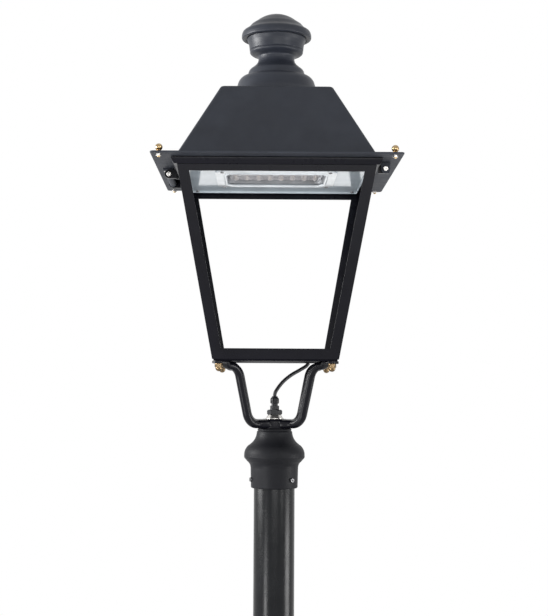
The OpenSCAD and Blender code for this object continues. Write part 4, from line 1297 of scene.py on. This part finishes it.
@dataclass
class ArmCradle:
    """Hub with four bent arms, and what clamps it to the collar.

    Attributes:
        seat_z: Underside of the hub.
        hub_r: Radius of the hub.
        hub_h: Height of the hub.
        arm_r: Radius of an arm.
        root_r: Half width of an arm where it flows out of the hub.
        lean: Lean of an arm from the vertical, in degrees.
        foot: Where the arm's line meets the hub's mid height.
        foot_bend: Bend radius at the foot.
        head_bend: Bend radius at the head.
        rise: Height of the pads' tops above the hub's underside.
        pad_at: Distance of the pads' bolts from the axis.
        pad_r: Half width of a pad.
        pad_t: Thickness of a pad.
        pad_power: Power of a pad's section: 1 is round and less is boxier.
        bore_r: Bore of the hub.
    """

    seat_z: float = 1.222
    hub_r: float = 0.031
    hub_h: float = 0.018
    arm_r: float = 0.0078
    root_r: float = 0.0165
    lean: float = 15.7
    foot: float = 0.0672
    foot_bend: float = 0.026
    head_bend: float = 0.0265
    rise: float = 0.124
    pad_at: float = 0.14368
    pad_r: float = 0.012
    pad_t: float = 0.005
    pad_power: float = 0.28
    bore_r: float = 0.0092

    def hub(self) -> Piece:
        """Cast hub: a low disc with soft rims and a shallow step round the washer.

        Returns:
            The hub.
        """
        r, h, z = self.hub_r, self.hub_h, self.seat_z
        rows = [
            [self.bore_r, z],
            [r - 0.0008, z],
            [r, z + 0.004],
            [r, z + h - 0.004],
            [r - 0.0022, z + h - 0.0006],
            [r - 0.0085, z + h - 0.0006],
            [r - 0.0095, z + h],
            [self.bore_r, z + h],
        ]
        return turned("cradle_hub", rounded(np.array(rows), 0.0016, steps=4))

    def arm_path(self) -> tuple[np.ndarray, np.ndarray, np.ndarray, np.ndarray]:
        """Centre line and sections of an arm in its own plane.

        Formula: level out of the hub, where the bar narrows with a smooth step from a wide
        flat root, an arc up, a straight that leans, an arc out, then the bar spreads with a
        smooth step to the pad's width while its top stays level, and the pad ends in a half
        circle.

        Returns:
            Points (outwards, up), half widths, half thicknesses and section powers.
        """
        turn = 90 - self.lean
        low, high = self.hub_h / 2, self.rise - self.arm_r
        slope = math.tan(math.radians(self.lean))
        head = self.foot + (high - low) * slope
        foot_cut = self.foot_bend * math.tan(math.radians(turn / 2))
        head_cut = self.head_bend * math.tan(math.radians(turn / 2))
        level = np.column_stack([np.linspace(0.02, self.foot - foot_cut, 14), np.full(14, low)])
        up = arc(self.foot - foot_cut, low + self.foot_bend, self.foot_bend, -90, turn - 90, 14)
        out = arc(head + head_cut, high - self.head_bend, self.head_bend, 180 - self.lean, 90, 14)
        k = np.linspace(0, 1, 8)[1:-1, None]
        straight = up[-1] * (1 - k) + out[0] * k
        bar = np.vstack([level[:-1], up, straight, out])
        flat_at = self.pad_at - 0.01
        s = np.linspace(0, 1, 12)[1:]
        k = s**1.5
        ease = k * k * (3 - 2 * k)
        spread_x = head + head_cut + (flat_at - head - head_cut) * s
        spread_t = self.arm_r + (self.pad_t / 2 - self.arm_r) * ease
        spread_w = self.arm_r + (self.pad_r - self.arm_r) * ease
        a = np.radians(np.linspace(0, 89, 14))
        pad_x = np.concatenate([[flat_at + 0.005], self.pad_at + self.pad_r * np.sin(a)])
        pad_w = np.concatenate([[self.pad_r], self.pad_r * np.cos(a)])
        x = np.concatenate([bar[:, 0], spread_x, pad_x])
        k = np.clip((bar[:, 0] - 0.027) / (self.foot - foot_cut - 0.026), 0, 1)
        root = 1 - k * k * (3 - 2 * k)
        bar_w = self.arm_r + (self.root_r - self.arm_r) * root
        pad_half = np.full(len(pad_x), self.pad_t / 2)
        half_t = np.concatenate([self.arm_r + 0.0004 * root, spread_t, pad_half])
        z = np.concatenate([bar[:, 1], self.rise - half_t[len(bar) :]])
        half_w = np.concatenate([bar_w, spread_w, pad_w])
        boxy = np.full(len(pad_x), self.pad_power)
        power = np.concatenate([1 - 0.4 * root, 1 - (1 - self.pad_power) * ease, boxy])
        return np.column_stack([x, z]), half_w, half_t, power

    def arm(self, number: int) -> Piece:
        """One arm, turned to its corner.

        Args:
            number: Number of the corner, from 0.

        Returns:
            The arm.
        """
        line, half_w, half_t, power = self.arm_path()
        turn = math.radians(45 + 90 * number)
        way = np.array([math.cos(turn), math.sin(turn), 0])
        across = np.array([-math.sin(turn), math.cos(turn), 0])
        path = line[:, :1] * way + line[:, 1:] * (0, 0, 1) + (0, 0, self.seat_z)
        return swept(f"cradle_arm_{number + 1}", path, across, half_w, half_t, power, 40)

    def build(self) -> None:
        """Dresses cradle, nipple, washer and nut."""
        dress(self.hub(), Finish.FRAME_BLACK, "cradle")
        for number in range(4):
            dress(self.arm(number), Finish.FRAME_BLACK)
        dress_copies(
            ("hub_nipple", "clamp_nipple", Finish.STAINLESS, 0.0004),
            ("hub_washer", "cone_washer", Finish.STAINLESS, 0.0004),
            ("hub_nut", "clamp_nut", Finish.GLAND_PLASTIC, 0.0004),
        )


@dataclass
class LanternFrame:
    """Welded frame of the lantern with its floor plate and the bolts under it.

    Attributes:
        edge: Width of the frame's broken edges.
    """

    edge: float = 0.0011

    def build(self) -> None:
        """Dresses frame, floor plate, studs, washers and acorn nuts."""
        bars = ["bottom_ring", "top_ring"] + [f"corner_post_{k}" for k in range(1, 5)]
        skin = eased(welded("lantern_frame", bars), self.edge, 3)
        dress(skin, Finish.FRAME_BLACK, *bars)
        dress_copies(
            ("bottom_plate", "floor_plate", Finish.PLATE_BLACK, 0.0006),
            ("cradle_studs", "floor_studs", Finish.STAINLESS, 0.0005),
            ("stud_washers", "brass_washers", Finish.AGED_BRASS, 0.0002),
            ("acorn_nuts", "brass_acorns", Finish.AGED_BRASS, 0.0005),
        )


@dataclass
class LightUnit:
    """Reflector tray with the sources, their lens sheet and the finned housing.

    Attributes:
        window_l: Length of the light opening.
        window_w: Width of the light opening.
        window_r: Corner radius of the light opening.
        tray_half: Half side of the tray.
        tray_z: Underside of the tray's ceiling.
        rim_z: Lower edge of the tray's rim.
        sheet: Thickness of tray and bezel.
        bezel_half: Half length and half width of the bezel.
        bezel_r: Corner radius of the bezel.
        bead_r: Radius of the rolled edge round the light opening.
        board_z: Underside of the board.
        columns: Light sources along X.
        rows: Light sources along Y.
        margin: How much shorter and narrower their grid is than the light opening.
        chip: Half side of a light source.
        chip_h: Height of a light source.
        draft: How far its sides lean inwards.
    """

    window_l: float = 0.183
    window_w: float = 0.14
    window_r: float = 0.018
    tray_half: float = 0.166
    tray_z: float = 1.692
    rim_z: float = 1.6893
    sheet: float = 0.002
    bezel_half: tuple[float, float] = (0.112, 0.095)
    bezel_r: float = 0.024
    bead_r: float = 0.0024
    board_z: float = 1.7024
    columns: int = 8
    rows: int = 5
    margin: float = 0.03
    chip: float = 0.0018
    chip_h: float = 0.0008
    draft: float = 0.0003

    def sources(self) -> Piece:
        """Light sources in a grid under the board.

        Formula: the same eight corners, a flat box that narrows downwards, added to every
        centre of the grid.

        Returns:
            All sources as one piece.
        """
        x = np.linspace(-0.5, 0.5, self.columns) * (self.window_l - self.margin)
        y = np.linspace(-0.5, 0.5, self.rows) * (self.window_w - self.margin)
        gx, gy = np.meshgrid(x, y)
        centres = np.stack([gx.ravel(), gy.ravel(), np.full(gx.size, self.board_z)], -1)
        top = np.column_stack([CORNERS * self.chip, np.zeros(4)])
        low = np.column_stack([CORNERS * (self.chip - self.draft), np.full(4, -self.chip_h)])
        box = np.vstack([top, low])
        sides = [[k, k + 4, (k + 1) % 4 + 4, (k + 1) % 4] for k in range(4)]
        faces = np.array([[0, 1, 2, 3], [7, 6, 5, 4], *sides])
        first = 8 * np.arange(len(centres))[:, None, None]
        return new_piece("light_sources", centres[:, None] + box, (faces + first).reshape(-1, 4))

    def tray(self) -> Piece:
        """Folded tray, carried as a profile from its opening out to the rim and back.

        Returns:
            The tray.
        """
        half, z, t = self.tray_half, self.tray_z, self.sheet
        opening = [self.window_l / 2 + 0.003, self.window_w / 2 + 0.003, self.window_r]
        middle = [self.window_l / 2 + 0.018, self.window_w / 2 + 0.03, 0.02]
        rows = [
            [*opening, z],
            [*middle, z],
            [half - t, half - t, 0.0025, z],
            [half - t, half - t, 0.0025, self.rim_z],
            [half, half, 0.004, self.rim_z],
            [half, half, 0.004, z + t],
            [*middle, z + t],
            [*opening, z + t],
        ]
        profile = rounded(np.array(rows), 0.0009, steps=3)
        fold = rounded(np.array(rows)[1:4], 0.0045, closed=False, steps=6)
        start = np.flatnonzero(profile[:, 3] < z - 0.0012)[0]
        profile = np.vstack([profile[:3], fold[1:-1], profile[start:]])
        return sheet_of("ceiling_tray", oblong_rings(profile, 10), True, True)

    def bezel(self) -> Piece:
        """Bezel whose underside swells into a rolled edge round the light opening.

        Formula: rings of the opening grown by a distance, whose heights follow a flat plate,
        a soft fillet and most of a circle. The plate's own outline closes the profile.

        Returns:
            The bezel.
        """
        r, z = self.bead_r, self.tray_z - self.sheet
        bead = arc(r, z, r, 180, 330, 14)
        fillet = np.array([[2 * r + 0.0012, z - 0.0003], [2 * r + 0.0034, z]])
        grown = np.vstack([[[0, self.tray_z - 0.0001]], bead, fillet])
        half_l, half_w = self.window_l / 2, self.window_w / 2
        rows = [[half_l + d, half_w + d, self.window_r + d, h] for d, h in grown]
        plate = [*self.bezel_half, self.bezel_r]
        rows += [[*plate, z], [*plate, self.tray_z - 0.0001]]
        profile = rounded(np.array(rows), 0.0006, steps=2)
        return sheet_of("rolled_bezel", oblong_rings(profile, 12), True, True)

    def build(self) -> None:
        """Dresses tray, bezel, screws, housing, board and lens sheet."""
        dress(self.tray(), Finish.TRAY_GREY, "reflector_tray")
        dress(self.bezel(), Finish.BEZEL_PALE, "led_bezel")
        dress(self.sources(), Finish.PHOSPHOR)
        dress_copies(
            ("tray_screws", "ceiling_screws", Finish.DARK_STEEL, 0.0003),
            ("bezel_screws", "bezel_bolts", Finish.DARK_STEEL, 0.0003),
            ("led_housing", "finned_housing", Finish.HEATSINK, 0.0005),
            ("led_board", "source_board", Finish.BOARD_WHITE, 0.0002),
            ("gear_plate", "gear_bridge", Finish.ZINC_SHEET, 0.0005),
        )
        lens = eased(merged_copy("lens_plate", "lens_sheet"), 0.0003, 1, 40)
        dress(lens, Finish.LENS_CLEAR, "lens_plate")
        case = eased(merged_copy("driver", "driver_case"), 0.0012, 3)
        dress(case, Finish.DRIVER_WHITE, "driver")


@dataclass
class RoofCover:
    """Hollow pyramid roof with its flange, gasket, corner balls and their nuts.

    Attributes:
        flange_half: Half width of the flange.
        flange_r: Corner radius of the flange.
        foot_half: Half width of the pyramid at the flange.
        head_half: Half width of the pyramid at its top.
        flange_z: Underside of the flange.
        top_z: Top of the roof.
        sheet: Thickness of the sheet.
        ridge_r: Radius of the ridges.
        ball_r: Radius of a ball.
        ball_at: Distance of the balls from the axis, along X and Y.
    """

    flange_half: float = 0.22
    flange_r: float = 0.007
    foot_half: float = 0.17825
    head_half: float = 0.101
    flange_z: float = 1.7015
    top_z: float = 1.8465
    sheet: float = 0.003
    ridge_r: float = 0.005
    ball_r: float = 0.0065
    ball_at: float = 0.205

    def shell(self) -> Piece:
        """Roof as one closed skin, carried as a profile round a square with round corners.

        Returns:
            The roof.
        """
        flange_top = self.flange_z + self.sheet
        slope = (self.foot_half - self.head_half) / (self.top_z - flange_top)
        wall = self.sheet * math.sqrt(1 + slope**2)
        r = self.ridge_r
        rows = [
            [0, 0, self.top_z],
            [0.05, r * 0.8, self.top_z],
            [self.head_half - r, r, self.top_z],
            [self.head_half - 0.45 * r, r, self.top_z - 0.08 * r],
            [self.head_half + slope * 0.35 * r - 0.0003, r, self.top_z - 0.35 * r],
            [self.head_half + slope * 0.9 * r, r, self.top_z - 0.9 * r],
            [self.foot_half - 0.02 * slope, r, flange_top + 0.02],
            [self.foot_half, r, flange_top],
            [self.flange_half, self.flange_r, flange_top],
            [self.flange_half, self.flange_r, self.flange_z],
            [self.foot_half - wall + slope * self.sheet, r - 0.001, self.flange_z],
            [self.head_half - wall + slope * self.sheet, r - 0.001, self.top_z - self.sheet],
            [0, 0, self.top_z - self.sheet],
        ]
        profile = rounded(np.array(rows)[:, [0, 0, 1, 2]], 0.0016, closed=False, steps=4)
        return sheet_of("roof_shell", oblong_rings(profile, 8), False, True)

    def balls(self) -> Piece:
        """Four turned balls on flared feet, with their stems.

        Formula: one closed profile turned about its own axis and repeated at the corners.

        Returns:
            All balls as one piece.
        """
        r = self.ball_r
        profile = np.vstack(
            [
                [[0, -0.009], [0.0022, -0.009], [0.0025, -0.0086], [0.0025, 0.0]],
                [[r, 0], [r, 0.001], [r - 0.002, 0.002]],
                arc(0, r + 0.0016, r, -56, 88, 20),
                [[0, 2 * r + 0.0016]],
            ]
        )
        profile = rounded(profile, 0.0004, closed=False)
        top = self.flange_z + self.sheet
        one = around(profile[:, 0], profile[:, 1] + top, full_turn(48))
        side = np.column_stack([CORNERS, np.zeros(4)]) * self.ball_at
        grid = one[None] + side[:, None, None]
        count = one.shape[0] * one.shape[1]
        base = quads(one.shape[0], one.shape[1], True, False)
        return new_piece("brass_balls", grid, np.vstack([base + count * k for k in range(4)]))

    def build(self) -> None:
        """Dresses roof, gasket, balls and nuts."""
        dress(self.shell(), Finish.ROOF_SLATE, "roof_cover", body=Body.COVER)
        dress_node("roof_gasket", Finish.RUBBER)
        dress(self.balls(), Finish.BRASS, "corner_balls", body=Body.COVER)
        dress_copies(("ball_nuts", "flange_nuts", Finish.STAINLESS, 0.0003), body=Body.COVER)


@dataclass
class Chimney:
    """Turned chimney and its cap, with the rod that ties them down.

    Attributes:
        base_z: Top of the roof.
        seat_z: Where the cap sits on the cup.
        cap_h: Height of the cap.
        foot_r: Radius of the foot.
        neck_r: Radius of the neck.
        cup_r: Radius of the drum at its bead.
        crown_r: Radius of the drum at its top.
        cap_r: Radius of the cap.
        wall: Wall of the chimney.
        drip: How far the cap's rim stands clear of the drum.
    """

    base_z: float = 1.8465
    seat_z: float = 1.96
    cap_h: float = 0.0465
    foot_r: float = 0.08
    neck_r: float = 0.0342
    cup_r: float = 0.051
    crown_r: float = 0.056
    cap_r: float = 0.066
    wall: float = 0.003
    drip: float = 0.002

    def body(self) -> Piece:
        """Chimney from its flared foot over two rolls and the neck to a tapered drum.

        Returns:
            The chimney.
        """
        f, n, c, z, t = self.foot_r, self.neck_r, self.cup_r, self.base_z, self.wall
        bead, seat, top = z + 0.0905, self.seat_z, self.crown_r
        a = np.radians(np.linspace(-80, 12, 14))
        bulge_r, bulge_z = n + 0.004 + 0.0122 * np.cos(a), bead - 0.003 + 0.0066 * np.sin(a)
        bulge = np.column_stack([bulge_r, bulge_z])
        outline = np.vstack(
            [
                [[f, z], [f, z + 0.004], [f - 0.004, z + 0.012], [f - 0.0062, z + 0.022]],
                arc(f - 0.0266, z + 0.0207, 0.02, 14, 58, 12),
                [[n + 0.022, z + 0.0391], [n + 0.0202, z + 0.0421]],
                arc(n + 0.0074, z + 0.045, 0.0116, 8, 64, 12),
                [[n + 0.0044, z + 0.0625], [n + 0.0014, z + 0.067], [n, z + 0.0715]],
                [[n, z + 0.0765], [n + 0.001, z + 0.079], [n + 0.004, z + 0.0803]],
                bulge,
                [[c - 0.0016, bead - 0.0006], [c - 0.0002, bead]],
                [[c, bead + 0.0016], [c + 0.0008, bead + 0.009]],
                [[c + 0.0024, bead + 0.015], [top, seat - 0.002], [top, seat]],
                [[top - t, seat], [top - t, seat - 0.003], [c - t, bead + 0.012]],
                [[c - t - 0.0016, bead + 0.002], [n - t, bead - 0.006], [n - t, z + 0.066]],
                [[n + 0.002, z + 0.059], [n + 0.013, z + 0.052], [n + 0.016, z + 0.039]],
                [[f - 0.03, z + 0.033], [f - 0.012, z + 0.021], [f - 0.009, z + 0.011]],
                [[f - 0.009, z]],
            ]
        )
        return turned("chimney_casting", rounded(outline, 0.0009), CAST_STEPS)

    def cap(self) -> Piece:
        """Cap with a drip rim that hangs round the drum, a low shoulder and a dome.

        Returns:
            The cap.
        """
        r, c, z, h = self.cap_r, self.cup_r, self.seat_z, self.cap_h
        lip = self.crown_r + self.drip
        outline = np.vstack(
            [
                [[0, z + 0.027], [c - 0.014, z + 0.027], [c - 0.007, z], [lip, z]],
                [[lip + 0.0004, z - 0.0015]],
                arc(r - 0.003, z + 0.0015, 0.003, -90, 0, 8),
                [[r, z + 0.006]],
                arc(r - 0.0086, z + 0.0074, 0.008, 6, 60, 12),
                [[c + 0.004, z + 0.0186], [c + 0.0002, z + 0.0224], [c - 0.0036, z + 0.0266]],
                arc(0, z + h - 0.06, 0.06, 50.5, 83, 16),
                [[0.006, z + h - 0.0003], [0, z + h]],
            ]
        )
        profile = rounded(outline, 0.0009, closed=False)
        return turned("chimney_lid", profile, CAST_STEPS, closed=False)

    def build(self) -> None:
        """Dresses chimney, cap, rod and nut."""
        dress(self.body(), Finish.CHIMNEY_BLACK, "chimney", body=Body.COVER)
        dress(self.cap(), Finish.CHIMNEY_BLACK, "chimney_cap", body=Body.COVER)
        dress_copies(
            ("tie_rod", "long_tie_rod", Finish.STAINLESS, 0.0005),
            ("tie_nut", "tie_rod_nut", Finish.STAINLESS, 0.0004),
            body=Body.COVER,
        )


@dataclass
class HingeAndLatch:
    """Hinge on the left and latch on the right of the roof.

    Attributes:
        edge: Width of the broken edges.
    """

    edge: float = 0.0006

    def build(self) -> None:
        """Dresses pin, clip, leaf, rivets, ear and lock screw."""
        dress_copies(
            ("hinge_pin", "pivot_pin", Finish.STAINLESS, 0.0003),
            ("pin_clip", "pivot_clip", Finish.STAINLESS, 0.0002),
        )
        dress_copies(
            ("hinge_leaf", "roof_leaf", Finish.ROOF_SLATE, self.edge),
            ("leaf_screws", "leaf_rivets", Finish.STAINLESS, 0.0003),
            ("latch_ear", "roof_ear", Finish.ROOF_SLATE, self.edge),
            ("lock_screw", "ear_screw", Finish.STAINLESS, 0.0003),
            body=Body.COVER,
        )


def main() -> None:
    """Builds the studio, the lead and every sub-assembly in order."""
    logging.basicConfig(level=logging.INFO, format="%(name)s %(message)s")
    bpy.context.scene.view_settings.view_transform = "Standard"
    studio = Studio()
    studio.camera()
    supply = Supply()
    supply.lead()
    parts = [
        supply,
        GroundPost(),
        SocketCollar(),
        ArmCradle(),
        LanternFrame(),
        LightUnit(),
        RoofCover(),
        Chimney(),
        HingeAndLatch(),
        studio,
    ]
    for part in parts:
        part.build()
        LOG.info("%s built", type(part).__name__)


if __name__ == "__main__":
    main()
